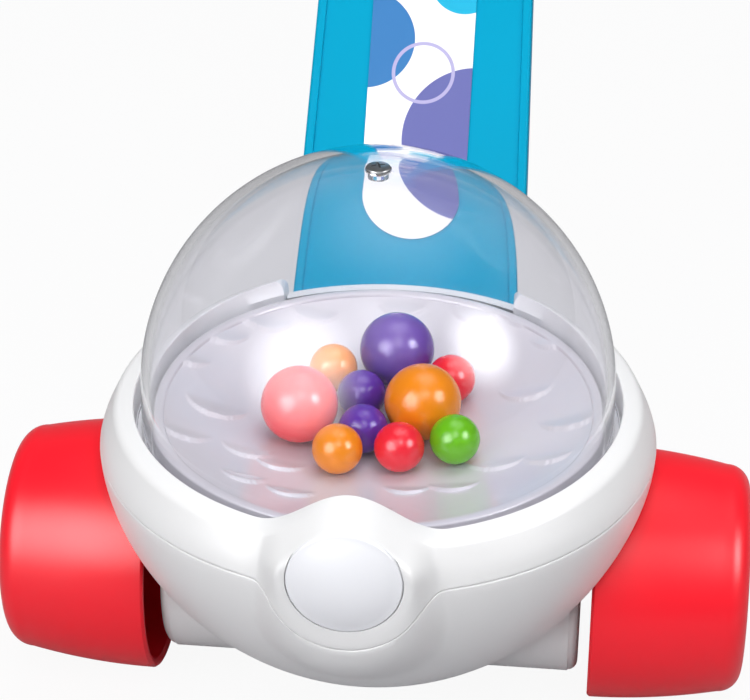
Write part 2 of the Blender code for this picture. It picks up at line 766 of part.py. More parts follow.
def make_dome():
    dome = add_object("dome", revolved(dome_outline(), ROUND_STEPS), clear_plastic())
    seat = DOME_Z + DOME_RADIUS - SCREW_HEAD_THICK / 2
    boss_radius = SCREW_RADIUS + SCREW_BOSS_WALL
    foot = seat - SCREW_LENGTH
    boss = rod(boss_radius, foot, seat)
    sink = rod(SCREW_HEAD + FIT, seat, seat + CUT_MARGIN)
    hole = rod(SCREW_RADIUS + FIT, foot - CUT_MARGIN, seat + CUT_MARGIN)
    join(dome, add_object("screw_boss", boss, cutter=True))
    cut(dome, add_object("screw_sink", sink, cutter=True), add_object("screw_hole", hole, cutter=True))

    head = seat + FIT
    outline = [(0.0, head + SCREW_HEAD_THICK), (SCREW_HEAD * 0.7, head + SCREW_HEAD_THICK)]
    outline += [(SCREW_HEAD, head + SCREW_HEAD_THICK / 2), (SCREW_HEAD, head), (SCREW_RADIUS, head)]
    outline += [(SCREW_RADIUS, head - SCREW_LENGTH), (0.0, head - SCREW_LENGTH)]
    add_object("crown_screw", revolved(outline, SMALL_STEPS), steel())


def make_stick(handle):
    stick = add_object(
        "handle_stick",
        extruded(stick_outline(0.0, 0.0, STICK_LENGTH), 0.0, STICK_THICK, "Y"),
        plastic("turquoise"),
        handle,
    )
    inner = stick_outline(-STICK_WALL, STICK_WALL, STICK_LENGTH - STICK_WALL)
    back = extruded(inner, RAIL_HEIGHT + STICK_WALL, STICK_THICK + CUT_MARGIN, "Y")
    back = add_object("stick_back", back, parent=handle, cutter=True)
    for rib in range(1, STICK_RIBS + 1):
        along = STICK_LENGTH * rib / (STICK_RIBS + 1)
        plate = rectangle(-STICK_FOOT_HALF, STICK_FOOT_HALF, along, along + STICK_WALL)
        plate = extruded(plate, RAIL_HEIGHT, STICK_THICK - STICK_WALL, "Y")
        cut(back, add_object(f"stick_rib_{rib}", plate, parent=handle, cutter=True))
    face = stick_outline(-RAIL_WIDTH, -CUT_MARGIN, STICK_LENGTH + CUT_MARGIN)
    face = extruded(face, -CUT_MARGIN, RAIL_HEIGHT, "Y")
    cut(stick, back, add_object("stick_face", face, parent=handle, cutter=True))


def make_label(handle):
    top = STICK_LENGTH - LABEL_TOP_MARGIN
    outline = arc((0.0, LABEL_FOOT + LABEL_HALF), LABEL_HALF, 180, 360, 16)
    outline += [(LABEL_HALF, top), (-LABEL_HALF, top)]
    back = RAIL_HEIGHT - FIT
    label = extruded(outline, back - LABEL_THICK, back, "Y")
    add_object("handle_label", label, plastic("print"), handle)


def make_grip(handle):
    centre = GRIP_LOW + GRIP_HEIGHT / 2
    wide, tall = GRIP_HALF - GRIP_CORNER, GRIP_HEIGHT / 2 - GRIP_CORNER
    path = []
    for x, z, start in ((wide, tall, 0), (-wide, tall, 90), (-wide, -tall, 180), (wide, -tall, 270)):
        path += arc((x, centre + z), GRIP_CORNER, start, start + 90, 6)
    depth = STICK_THICK / 2
    loop = swept_loop([(x, z) for x, z in path], GRIP_RADIUS, 12)
    bmesh.ops.translate(loop, verts=loop.verts, vec=(0.0, depth, 0.0))
    grip = add_object("grip", loop, plastic("turquoise"), handle)
    half = stick_half(STICK_LENGTH - GRIP_SOCKET) + GRIP_WALL
    sleeve = rectangle(-half, half, STICK_LENGTH - GRIP_SOCKET, GRIP_LOW)
    sleeve = extruded(sleeve, -GRIP_WALL, STICK_THICK + GRIP_WALL, "Y")
    join(grip, add_object("grip_sleeve", sleeve, parent=handle, cutter=True))
    bore = extruded(stick_outline(FIT, 0.0, STICK_LENGTH + FIT), -FIT, STICK_THICK + FIT, "Y")
    cut(grip, add_object("grip_bore", bore, parent=handle, cutter=True))


def make_hammer():
    pivot = add_empty("hammer_pivot", (0.0, HAMMER_REACH, PIVOT_Z))
    half = HAMMER_THICK / 2
    cam_top = AXLE_Z + CAM_RADIUS + CAM_LOBE + RUNNING_GAP - PIVOT_Z
    reach = -HAMMER_REACH
    follower = CAM_WIDTH / 2
    outline = arc((0.0, 0.0), HAMMER_BOSS, -90, 90, 8)
    outline += [(-HAMMER_BOSS, half), (reach - PAD_RADIUS, half), (reach - PAD_RADIUS, -half)]
    outline += [(reach - follower, -half), (reach - follower / 2, cam_top), (reach + follower / 2, cam_top)]
    outline += [(reach + follower, -half), (-HAMMER_BOSS, -half)]
    hammer = add_object("hammer", extruded(outline, -HAMMER_HALF, HAMMER_HALF, "X"), plastic("dark"), pivot)
    bore = rod(PIN_RADIUS + FIT, -CUT_MARGIN, CUT_MARGIN, "X")
    cut(hammer, add_object("hammer_bore", bore, parent=pivot, cutter=True))
    pad = rod(PAD_RADIUS, half + FIT, half + FIT + PAD_THICK, "Z", (0.0, reach), 24)
    add_object("striker_pad", pad, plastic("white"), pivot)
    pin_half = HAMMER_HALF + RUNNING_GAP + LUG_THICK
    pin = add_object("hammer_pin", rod(PIN_RADIUS, -pin_half, pin_half, "X"), steel())
    pin.location = pivot.location


def make_spring():
    """Return spring between the hammer and the tray's underside."""
    bottom = PIVOT_Z + HAMMER_THICK / 2 + SPRING_WIRE + FIT
    top = tray_height(SPRING_AT + SPRING_RADIUS) - TRAY_WALL - SPRING_WIRE - 2 * FIT
    curve = bpy.data.curves.new("return_spring", "CURVE")
    curve.dimensions = "3D"
    curve.bevel_depth = SPRING_WIRE
    curve.bevel_resolution = 0
    curve.use_fill_caps = True
    per_turn = 12
    count = SPRING_TURNS * per_turn
    spline = curve.splines.new("POLY")
    spline.points.add(count)
    for index in range(count + 1):
        angle = 2 * math.pi * index / per_turn
        x, y = SPRING_RADIUS * math.cos(angle), SPRING_RADIUS * math.sin(angle)
        spline.points[index].co = (x, y, (top - bottom) * index / count, 1.0)
    spring = bpy.data.objects.new("return_spring", curve)
    curve.materials.append(steel())
    spring.parent = bpy.data.objects[TOY]
    spring.location = (0.0, SPRING_AT, bottom)
    bpy.context.scene.collection.objects.link(spring)


def settled_balls():
    """Ball places, moved apart in plan until none hinders another one's jump."""
    places = [Vector((x, y)) for _, _, x, y, _ in BALLS]
    for _ in range(200):
        for first in range(len(BALLS)):
            for second in range(first + 1, len(BALLS)):
                apart = places[second] - places[first]
                short = BALLS[first][1] + BALLS[second][1] + RUNNING_GAP - apart.length
                if short > 0:
                    push = apart.normalized() * short / 2
                    places[first] -= push
                    places[second] += push
    return places


def ball_mesh(radius):
    bm = bmesh.new()
    bmesh.ops.create_uvsphere(bm, u_segments=12, v_segments=8, radius=radius)
    return bm


def make_balls():
    for (name, radius, _, _, colour), place in zip(BALLS, settled_balls()):
        slope = 2 * TRAY_DISH * place.length / DISH_RADIUS**2
        height = tray_height(place.length) + radius * math.sqrt(1 + slope**2) + RUNNING_GAP
        ball = add_object(name, ball_mesh(radius), plastic(colour))
        ball.location = (place.x, place.y, height)


def build():
    clear_scene()
    add_empty(TOY, (0.0, -middle_y(), 0.0))
    handle = add_empty("handle_foot", HANDLE_FOOT, (-HANDLE_LEAN, 0.0, 0.0))
    wheel_set = add_empty("wheel_axis", (0.0, 0.0, AXLE_Z))
    make_lower_shell(handle)
    make_ring()
    make_badge()
    make_tray()
    make_dome()
    make_bushings()
    make_axle(wheel_set)
    make_wheels(wheel_set)
    make_stick(handle)
    make_label(handle)
    make_grip(handle)
    make_hammer()
    make_spring()
    make_balls()


build()
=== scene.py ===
"""Looks of the toddler push toy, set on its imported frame. Metres, +Z up, front at -Y."""

import math

import bmesh
import bpy
import numpy as np
from mathutils import Matrix, Vector


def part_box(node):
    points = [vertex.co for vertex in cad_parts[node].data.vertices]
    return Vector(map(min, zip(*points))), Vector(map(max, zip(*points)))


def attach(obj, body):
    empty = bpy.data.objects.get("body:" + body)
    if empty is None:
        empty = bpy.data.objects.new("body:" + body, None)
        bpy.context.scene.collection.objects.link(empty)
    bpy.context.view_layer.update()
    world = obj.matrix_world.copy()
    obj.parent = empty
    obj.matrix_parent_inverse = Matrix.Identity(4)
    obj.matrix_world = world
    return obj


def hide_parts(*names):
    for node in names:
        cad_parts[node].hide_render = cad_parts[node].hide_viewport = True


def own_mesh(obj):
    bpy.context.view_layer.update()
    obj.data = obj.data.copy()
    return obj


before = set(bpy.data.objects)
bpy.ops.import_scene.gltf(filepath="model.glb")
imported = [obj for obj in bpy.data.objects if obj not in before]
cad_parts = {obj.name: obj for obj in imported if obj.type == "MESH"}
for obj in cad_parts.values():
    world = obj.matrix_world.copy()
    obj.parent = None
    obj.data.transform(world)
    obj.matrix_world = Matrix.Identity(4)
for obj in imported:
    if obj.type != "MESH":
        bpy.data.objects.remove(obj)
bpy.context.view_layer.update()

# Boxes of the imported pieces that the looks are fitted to
DOME_LOW, DOME_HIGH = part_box("dome")
_, TRAY_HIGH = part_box("tray")
WHEEL_LOW, WHEEL_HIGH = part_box("wheel_right")
BADGE_LOW, BADGE_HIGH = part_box("badge_disc")
SCREW_LOW, SCREW_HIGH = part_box("crown_screw")
STICK_LOW, STICK_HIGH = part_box("handle_stick")
_, LABEL_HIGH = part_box("handle_label")
_, HAMMER_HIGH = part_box("hammer")
PIN_LOW, PIN_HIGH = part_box("hammer_pin")
AXLE_LOW, AXLE_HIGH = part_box("axle")

# The dome's axis, from which lengths along Y are measured, and other places in the frame
CENTRE_Y = (DOME_LOW.y + DOME_HIGH.y) / 2
CENTRE = (0.0, CENTRE_Y, 0.0)
RIM_Z = TRAY_HIGH.z
AXLE_Z = (AXLE_LOW.z + AXLE_HIGH.z) / 2
BOSS_Z = (BADGE_LOW.z + BADGE_HIGH.z) / 2

# Fits, and how far cutting tools reach past what they cut
FIT = 0.0003
RUNNING_GAP = 0.0005
CUT_MARGIN = 0.01

# Dome, whose flange fills the ring's bore, and its screw
RING_BORE = DOME_HIGH.x + FIT
DOME_GAP = 0.0024
DOME_RADIUS = RING_BORE - DOME_GAP
DOME_LIFT = 0.0062
DOME_Z = RIM_Z + DOME_LIFT
DOME_WALL = 0.0024
DOME_FLANGE = 0.0022
DOME_EDGE = 0.0004
SCREW_HEAD = SCREW_HIGH.x
SCREW_HEAD_THICK = 0.0018
SCREW_RADIUS = 0.0014
SCREW_BOSS_WALL = 0.0016
RECESS_HALF = 0.0021
RECESS_WIDTH = 0.0008
RECESS_DEPTH = 0.0011
RECESS_DEGREES = (20, 110)

# Ring, with its hump over the badge and its rise towards the handle
RING_WIDTH = 0.0108
RING_RADIUS = RING_BORE + RING_WIDTH
RING_RISE = 0.002
RING_TOP_WIDTH = 0.0058
RING_TOP_DROP = 0.0012
CREST_ROUND = 0.0018
RING_DROP = 0.0112
RING_WALL = 0.0028
REAR_RISE = 0.0016
REAR_LEAN = 0.003
REAR_START = math.radians(95)
REAR_FULL = math.radians(160)
BAND_DROP = 0.0096
BAND_EDGE = 0.0008
CREASE_ROUND = 0.0028
CREASE_INSET = 0.0009
SEAM_ROUND = 0.0005
SEAM_Z = RIM_Z - RING_DROP
LEDGE_WIDTH = 0.0105
LEDGE_THICK = 0.0024
LEDGE_Z = DOME_LOW.z - FIT
NOTCH_INSET = 0.0015
NOTCH_DROP = 0.006
NOTCH_ROUND = 0.005
HUMP_RISE = 0.0126
HUMP_HALF = 0.0275
HUMP_DROP = 0.0034

# Badge and its boss
BADGE_RADIUS = BADGE_HIGH.x
BADGE_ROUND = 0.0007
BADGE_EDGE = 0.001
BADGE_CROWN = 0.0038
BOSS_MARGIN = 0.0067
BOSS_FLAT_MARGIN = 0.0022
BOSS_PROUD = 0.0042
BOSS_RADIUS = BADGE_RADIUS + BOSS_MARGIN
BOSS_FLAT = BADGE_RADIUS + BOSS_FLAT_MARGIN
BOSS_FACE_Y = -(RING_RADIUS + BOSS_PROUD)
BOSS_BLEND_SIDE = 0.007
BOSS_BLEND_BELOW = 0.0335
SEAM_CORNER = 0.007

# Bowl, axle tunnel, wheel wells and heel. The bowl's skin is found along rays from its core.
BOWL_DEPTH = 0.079
BOWL_FULLNESS = 1.8
SHELL_WALL = 0.0026
TUNNEL_RADIUS = 0.032
TUNNEL_INSET = 0.0205
TUNNEL_HALF = RING_RADIUS - TUNNEL_INSET
TUNNEL_CORNER = 0.003
TUNNEL_BLEND = 0.006
CORE_Z = AXLE_Z + TUNNEL_RADIUS / 5
WELL_CLEARANCE = 0.0025
WELL_RADIUS = WHEEL_HIGH.z - AXLE_Z + WELL_CLEARANCE
BUSHING_ROOM = 0.0028
AXLE_HOLE = AXLE_HIGH.z - AXLE_Z + BUSHING_ROOM
HEEL_HALF = 0.026
HEEL_ROOT = 0.047
HEEL_SPLAY = 0.0155
HEEL_LENGTH = 0.022
HEEL_WALL = 0.003
HEEL_ROUND = 0.0015

# Tray
TRAY_RADIUS = TRAY_HIGH.x
TRAY_LIP = 0.0035
TRAY_LIP_STEP = 0.001
TRAY_EDGE = 0.0006
TRAY_DISH = 0.012
TRAY_WALL = 0.0024
DISH_RADIUS = TRAY_RADIUS - TRAY_LIP
STRIKER_HOLE = 0.0098
LUG_HALF = 0.0052
LUG_THICK = 0.0035

# Hammer: its pivot (y, z) between the tray's lugs, and its spring
PIVOT = ((PIN_LOW.y + PIN_HIGH.y) / 2 - CENTRE_Y, (PIN_LOW.z + PIN_HIGH.z) / 2)
SPRING_WIRE = 0.0006
SPRING_TURNS = 4

# Raised scales of the tray: discs that rise towards the edge that faces the front.
# A disc's radius is a share of its scale's width, and its rise starts at a share of its radius.
SCALE_STEP = 0.0009
SCALE_EDGE = 0.0004
SCALE_RADIUS = 0.62
SCALE_START = 0.1

# Each scale: middle of its front edge across and back, and width
SCALES = (
    (-0.0555, 0.0310, 0.0165),
    (-0.0630, 0.0155, 0.0130),
    (-0.0500, -0.0065, 0.0170),
    (-0.0370, -0.0255, 0.0140),
    (-0.0265, -0.0295, 0.0140),
    (-0.0350, -0.0425, 0.0120),
    (-0.0210, -0.0470, 0.0130),
    (0.0435, 0.0500, 0.0150),
    (0.0525, 0.0380, 0.0135),
    (0.0445, 0.0145, 0.0150),
    (0.0585, -0.0060, 0.0160),
    (0.0370, -0.0245, 0.0150),
    (0.0525, -0.0250, 0.0120),
    (0.0255, -0.0370, 0.0130),
    (0.0120, -0.0380, 0.0120),
    (-0.0420, 0.0420, 0.0150),
    (-0.0270, 0.0500, 0.0150),
    (0.0020, 0.0570, 0.0150),
    (0.0270, 0.0540, 0.0150),
    (-0.0560, -0.0250, 0.0140),
    (0.0020, -0.0560, 0.0140),
)

# Wheels
WHEEL_RADIUS = WHEEL_HIGH.z - AXLE_Z
WHEEL_WIDTH = WHEEL_HIGH.x - WHEEL_LOW.x
WHEEL_EDGE = 0.007
WHEEL_TAPER = 0.0058
WHEEL_WALL = 0.0028
WHEEL_LIP = 0.0009
HUB_RADIUS = 0.008
HUB_BORE = AXLE_HIGH.z - AXLE_Z + FIT
HUB_BORE_DEPTH = 0.036

# Balls: height of the parting line's bead, and its spread in degrees
BALL_BEAD = 0.00006
BALL_BEAD_SPREAD = 2.2

# Handle: its foot is the lower front edge of the stick
HANDLE_LEAN = math.radians(37.2)
STICK_THICK = 0.015
HANDLE_FOOT = Vector((0.0, STICK_LOW.y, STICK_LOW.z + STICK_THICK * math.sin(HANDLE_LEAN)))
HANDLE_TURN = Matrix.Translation(HANDLE_FOOT) @ Matrix.Rotation(-HANDLE_LEAN, 4, "X")
STICK_LENGTH = (STICK_HIGH.z - HANDLE_FOOT.z) / math.cos(HANDLE_LEAN)
GRIP_HALF = 0.048
GRIP_HEIGHT = 0.072
GRIP_CORNER = 0.026
GRIP_RADIUS = 0.0082
GRIP_SOCKET = 0.034
GRIP_WALL = 0.0026
GRIP_ROUND = 0.0012
STICK_FOOT_HALF = STICK_HIGH.x
STICK_TOP_HALF = 0.0283
STICK_WALL = 0.0024
STICK_RIBS = 5
STICK_ROUND = 0.0014
STICK_BACK_ROUND = 0.0008
STICK_INNER_ROUND = 0.001
RAIL_WIDTH = 0.0032
RAIL_HEIGHT = 0.0012
RAIL_ROUND = 0.0005
RAIL_FOOT_ROUND = 0.0004
SOCKET_DEPTH = 0.022
SOCKET_WALL = 0.0045
SOCKET_TOP_GAP = 0.003
SOCKET_ROUND = 0.002
LABEL_HALF = LABEL_HIGH.x
LABEL_THICK = 0.0004
LABEL_FOOT = 0.0433
LABEL_TOP_MARGIN = 0.075

# Surfaces: depth of the grain, and how far the gloss drifts
GRAIN_DEPTH = 0.0001
GLOSS_DRIFT = 0.03

# Printed dots: middle across the label and up from its foot, radius, line width or 0, colour
DOTS = (
    (-0.0195, 0.0667, 0.0170, 0.0, "3a7dbc"),
    (0.0135, 0.0887, 0.0120, 0.0, "16b4dc"),
    (0.0200, 0.0332, 0.0250, 0.0, "6b6fb0"),
    (0.0010, 0.0557, 0.0102, 0.0012, "b7b2dc"),
    (-0.0120, 0.1227, 0.0150, 0.0, "6b6fb0"),
    (0.0150, 0.1427, 0.0170, 0.0, "3a7dbc"),
    (0.0000, 0.1347, 0.0100, 0.0012, "8fd0ea"),
    (-0.0170, 0.1747, 0.0170, 0.0, "16b4dc"),
    (0.0140, 0.1957, 0.0130, 0.0, "6b6fb0"),
    (-0.0020, 0.1867, 0.0105, 0.0012, "b7b2dc"),
    (-0.0100, 0.2307, 0.0190, 0.0, "3a7dbc"),
    (0.0190, 0.2507, 0.0160, 0.0, "16b4dc"),
    (0.0060, 0.2427, 0.0100, 0.0012, "b7b2dc"),
    (-0.0180, 0.2847, 0.0150, 0.0, "6b6fb0"),
    (0.0100, 0.3047, 0.0190, 0.0, "3a7dbc"),
)
DOT_BLUR = 0.0001

# Rounding of the kept pieces, and how near their points are to be merged for it
KEPT_ROUND = 0.0003
WELD_REACH = 0.00001

# Facets round and rows along the shapes
FINE_STEPS = 128
ROUND_STEPS = 192
TRAY_STEPS = 2 * ROUND_STEPS
BALL_STEPS = 72
GRIP_STEPS = 36
WIRE_STEPS = 12
WALL_ROWS = 22
SKIN_ROWS = 72
HOLLOW_ROWS = 24
CROWN_ROWS = 11
DISH_ROWS = 150
UNDERSIDE_ROWS = 12
DOME_ROWS = 64
SCREW_ROWS = 10
BARREL_ROWS = 20
BARREL_INNER_ROWS = 8
BALL_ROWS = 65
SPRING_TURN_ROWS = 24

# Halvings in the search for where a field crosses zero
HALVINGS = 44

# Columns of ring and bowl, in degrees from the front: start, end and step
COLUMN_SPANS = ((-180, -60, 2.5), (-60, -26, 1.25), (-26, 26, 0.4), (26, 60, 1.25), (60, 180, 2.5))

# Camera
CAMERA_PLACE = (0.06774, -0.79697, 0.49386)
CAMERA_YAW = math.radians(6.16)
CAMERA_PITCH = math.radians(-30.6)
CAMERA_LENS = 118.69
CAMERA_SENSOR = 36.0

# Lamps: directions and distances from the dome
LEFT = (-0.507, -0.713, 0.476)
RIGHT = (0.787, -0.31, 0.54)
TOP = (0.1, 0.25, 1.0)
FRONT = (0.15, -0.65, 0.9)
LAMP_DISTANCE = 1.1
CARD_DISTANCE = 1.0

# Studio: light all round and as seen, and the floor with its share of glow as seen and through the dome
WORLD_LIGHT = 0.18
WORLD_SEEN = 1.0
FLOOR_HALF = 4.0
FLOOR_DROP = 0.0002
FLOOR_PAINT = (0.36, 0.36, 0.375, 1.0)
FLOOR_ROUGHNESS = 0.8
FLOOR_GLOW = 1.08
FLOOR_SEEN = 0.86
FLOOR_THROUGH = 0.53
PURE_WHITE = (1.0, 1.0, 1.0, 1.0)


def smoothstep(low, high, value):
    share = np.clip((value - low) / (high - low), 0.0, 1.0)
    return share * share * (3 - 2 * share)


def smooth_min(first, second, width):
    """The lesser of two fields, rounded over where they cross."""
    share = np.clip(0.5 + 0.5 * (second - first) / width, 0.0, 1.0)
    return second + (first - second) * share - width * share * (1 - share)


def crossing(inside, outside, field):
    """Where a field rises through zero between two values, for each column."""
    low, high = inside, outside
    for _ in range(HALVINGS):
        middle = (low + high) / 2
        within = field(middle) < 0
        low = np.where(within, middle, low)
        high = np.where(within, high, middle)
    return (low + high) / 2


def column_angles():
    """Angles round the dome from the front, set close together at the badge."""
    parts = [np.arange(start, end - step / 4, step) for start, end, step in COLUMN_SPANS]
    return np.radians(np.concatenate(parts))


def around(radius, angles, height):
    """Points at a radius and a height for each column, with angle 0 at the front."""
    flat, tall = radius * np.ones_like(angles), height * np.ones_like(angles)
    return np.stack([flat * np.sin(angles), -flat * np.cos(angles), tall], axis=-1)


def toward(start, end, length):
    """Points at a length from the start, on the way to the end."""
    way = end - start
    return start + way * (length / np.linalg.norm(way, axis=-1, keepdims=True))


def corner_rows(first, corner, last, steps):
    """Rows of a rounded corner."""
    shares = np.linspace(0.0, 1.0, steps)[:, None, None]
    return list((1 - shares) ** 2 * first + 2 * shares * (1 - shares) * corner + shares**2 * last)


def bulge(points):
    """Points of the outer skin, drawn out to the badge's flat face where they are near it."""
    x, y, z = points[..., 0], points[..., 1], points[..., 2]
    reach = np.hypot(x, z - BOSS_Z)
    below = np.clip((BOSS_Z - z) / np.maximum(reach, FIT), 0.0, 1.0) ** 2
    blend = BOSS_BLEND_SIDE + (BOSS_BLEND_BELOW - BOSS_BLEND_SIDE) * below
    weight = (1 - smoothstep(BOSS_FLAT, BOSS_FLAT + blend, reach)) * (y < 0)
    drawn = points.copy()
    drawn[..., 1] = y + (BOSS_FACE_Y - y) * weight
    return drawn


def seam_heights(angles):
    """Height of the line between ring and bowl, which dips round the badge."""
    x = RING_RADIUS * np.sin(angles)

    def field(z):
        return smooth_min(SEAM_Z - z, np.hypot(x, z - BOSS_Z) - BOSS_RADIUS, SEAM_CORNER)

    lowest = BOSS_Z - BOSS_RADIUS - SEAM_CORNER
    dipped = crossing(np.full_like(x, RIM_Z), np.full_like(x, lowest), field)
    return np.where(np.cos(angles) > 0, dipped, SEAM_Z)


def ring_rows():
    """Rows of the ring's hollow section: ledge, bore, top, sloping band, outer wall and inside."""
    angles = column_angles()
    x = RING_BORE * np.sin(angles)
    ahead = (np.cos(angles) > 0) & (np.abs(x) < HUMP_HALF)
    hump = np.where(ahead, 0.5 + 0.5 * np.cos(math.pi * x / HUMP_HALF), 0.0)
    rear = smoothstep(REAR_START, REAR_FULL, np.abs(angles))
    top = RIM_Z + RING_RISE + HUMP_RISE * hump + REAR_RISE * rear
    seam = seam_heights(angles)
    crease_z = top - BAND_DROP + (BAND_DROP - HUMP_DROP) * hump
    inward, up = around(-1.0, angles, 0.0), np.array([0.0, 0.0, 1.0])

    def wall_row(height):
        inset = CREASE_INSET * (height - seam) / (crease_z - seam)
        return bulge(around(RING_RADIUS - inset, angles, height))

    edge, crease = around(RING_BORE + REAR_LEAN * rear, angles, top), wall_row(crease_z)
    crest = around(RING_BORE + RING_TOP_WIDTH, angles, top - RING_TOP_DROP)
    start, near = toward(edge, crest, BAND_EDGE), toward(crest, edge, CREST_ROUND)
    far, finish = toward(crest, crease, CREST_ROUND), toward(crease, crest, CREASE_ROUND)
    below_z, foot_z = crease_z - CREASE_ROUND, seam + SEAM_ROUND
    rows = [around(RING_BORE - LEDGE_WIDTH, angles, LEDGE_Z)]
    rows += [around(RING_BORE, angles, height) for height in (LEDGE_Z, RIM_Z - BAND_EDGE)]
    rows += corner_rows(edge - up * BAND_EDGE, edge, start, steps=4)
    rows += corner_rows(near, crest, far, steps=7)
    rows += corner_rows(finish, crease, wall_row(below_z), steps=6)
    shares = np.linspace(0.0, 1.0, WALL_ROWS)[1:-1]
    rows += [wall_row(below_z + (foot_z - below_z) * share) for share in shares]
    turned_in = wall_row(seam) + inward * SEAM_ROUND
    rows += corner_rows(wall_row(foot_z), wall_row(seam), turned_in, steps=4)
    rows += [wall_row(height) + inward * RING_WALL for height in (seam, crease_z - RING_WALL / 2)]
    rows += [around(RING_BORE + RING_WALL, angles, RIM_Z - RING_WALL)]
    rows += [around(RING_BORE + RING_WALL, angles, LEDGE_Z - LEDGE_THICK)]
    rows += [around(RING_BORE - LEDGE_WIDTH, angles, LEDGE_Z - LEDGE_THICK)]
    return rows


def shell_field(points):
    """Below zero inside the bowl and the axle tunnel, which run smoothly into each other."""
    x, y, z = points[..., 0], points[..., 1], points[..., 2]
    drop = np.clip(SEAM_Z - z, 0.0, None) / BOWL_DEPTH
    out = np.hypot(x, y) / RING_RADIUS
    bowl = ((out**BOWL_FULLNESS + drop**BOWL_FULLNESS) ** (1 / BOWL_FULLNESS) - 1) * BOWL_DEPTH
    tunnel = np.maximum(np.hypot(y, z - AXLE_Z) - TUNNEL_RADIUS, np.abs(x) - RING_RADIUS)
    return smooth_min(bowl, tunnel, TUNNEL_BLEND)


def shell_rows():
    """Rows of the bowl's outer skin, from inside its seam down to its lowest part."""
    angles = column_angles()
    seam = seam_heights(angles) - FIT
    nothing, far = np.zeros_like(angles), np.full_like(angles, 2 * RING_RADIUS)
    edge = crossing(nothing, far, lambda radius: shell_field(around(radius, angles, seam)))
    start = np.arctan2(seam - CORE_Z, edge)
    skin = []
    for step in range(SKIN_ROWS):
        tilt = start - (start + math.pi / 2) * step / SKIN_ROWS
        flat, rise = np.cos(tilt), np.sin(tilt)
        length = crossing(
            nothing, far, lambda reach: shell_field(around(reach * flat, angles, CORE_Z + reach * rise))
        )
        skin.append(bulge(around(length * flat, angles, CORE_Z + length * rise)))
    inward, down = around(-SEAM_ROUND, angles, 0.0), np.array([0.0, 0.0, -SEAM_ROUND])
    rows = [around(RING_BORE, angles, seam)]
    rows += corner_rows(skin[0] + inward, skin[0], skin[0] + down, steps=4)
    return rows + skin[1:]


def smooth(obj, angle=35):
    """Smooth shading, with edges kept sharp from this angle."""
    obj.data.shade_smooth()
    obj.data.set_sharp_from_angle(angle=math.radians(angle))
    return obj


def new_piece(name, bm):
    bmesh.ops.recalc_face_normals(bm, faces=bm.faces)
    mesh = bpy.data.meshes.new(name)
    bm.to_mesh(mesh)
    bm.free()
    obj = bpy.data.objects.new(name, mesh)
    bpy.context.scene.collection.objects.link(obj)
    return smooth(obj)


def swept(rows, closed=False, caps=False):
    """A mesh through rows of points that each close on themselves; its ends may be joined or capped."""
    bm = bmesh.new()
    made = [[bm.verts.new(point) for point in row] for row in rows]
    pairs = list(zip(made, made[1:]))
    if closed:
        pairs.append((made[-1], made[0]))
    count = len(made[0])
    for row, following in pairs:
        for index in range(count):
            onward = (index + 1) % count
            bm.faces.new((row[index], row[onward], following[onward], following[index]))
    for row in (made[0], made[-1]) if caps else ():
        middle = bm.verts.new(sum((vert.co for vert in row), Vector()) / count)
        for index in range(count):
            bm.faces.new((row[index], row[(index + 1) % count], middle))
    return bm


def lathe(outline, steps, axis="Z", closed=True):
    """(radius, height) points turned about an axis. A radius of 0 becomes a pole."""
    bm = bmesh.new()
    rings = []
    for radius, height in outline:
        ring = []
        for step in range(steps if radius > 1e-7 else 1):
            angle = 2 * math.pi * step / steps
            across, along = radius * math.cos(angle), radius * math.sin(angle)
            place = (height, across, along) if axis == "X" else (across, along, height)
            ring.append(bm.verts.new(place))
        rings.append(ring)
    for ring, after in zip(rings, rings[1:] + (rings[:1] if closed else [])):
        if len(ring) == len(after) == 1:
            continue
        for step in range(steps):
            onward = (step + 1) % steps
            corners = [ring[step % len(ring)], ring[onward % len(ring)]]
            corners += [after[onward % len(after)], after[step % len(after)]]
            bm.faces.new(list(dict.fromkeys(corners)))
    return bm


def arc(centre, radius, start, end, steps):
    """Points of an arc between two angles in degrees."""
    turns = np.radians(np.linspace(start, end, steps + 1))
    a, b = centre
    return [(a + radius * math.cos(turn), b + radius * math.sin(turn)) for turn in turns]


def rectangle(low_a, high_a, low_b, high_b):
    return [(low_a, low_b), (high_a, low_b), (high_a, high_b), (low_a, high_b)]


def prism(outline, low, high, axis):
    """A flat outline pushed along an axis: (y, z) along X, (x, z) along Y or (x, y) along Z."""
    bm = bmesh.new()
    ends = []
    for depth in (low, high):
        end = []
        for a, b in outline:
            place = {"X": (depth, a, b), "Y": (a, depth, b), "Z": (a, b, depth)}[axis]
            end.append(bm.verts.new(place))
        ends.append(end)
    for index in range(len(outline)):
        onward = (index + 1) % len(outline)
        bm.faces.new((ends[0][index], ends[0][onward], ends[1][onward], ends[1][index]))
    bm.faces.new(ends[0])
    bm.faces.new(ends[1])
    return bm


def rod(radius, low, high, axis, centre=(0.0, 0.0), steps=FINE_STEPS):
    return prism(arc(centre, radius, 0, 360 - 360 / steps, steps - 1), low, high, axis)


def keep_modifiers(obj):
    """Makes a piece's modifiers part of its mesh."""
    bpy.context.view_layer.update()
    shape = bpy.data.meshes.new_from_object(obj.evaluated_get(bpy.context.evaluated_depsgraph_get()))
    obj.modifiers.clear()
    obj.data = shape
    return smooth(obj)


def carve(target, operation, *tools):
    """Joins or cuts solids into a target and clears them away."""
    for tool in tools:
        change = target.modifiers.new("carve", "BOOLEAN")
        change.operation = operation
        change.solver = "EXACT"
        change.object = tool
    keep_modifiers(target)
    for tool in tools:
        bpy.data.objects.remove(tool, do_unlink=True)
    return target


def round_edges(obj, width, segments=4):
    rounding = obj.modifiers.new("rounding", "BEVEL")
    rounding.width = width
    rounding.segments = segments
    rounding.limit_method = "ANGLE"


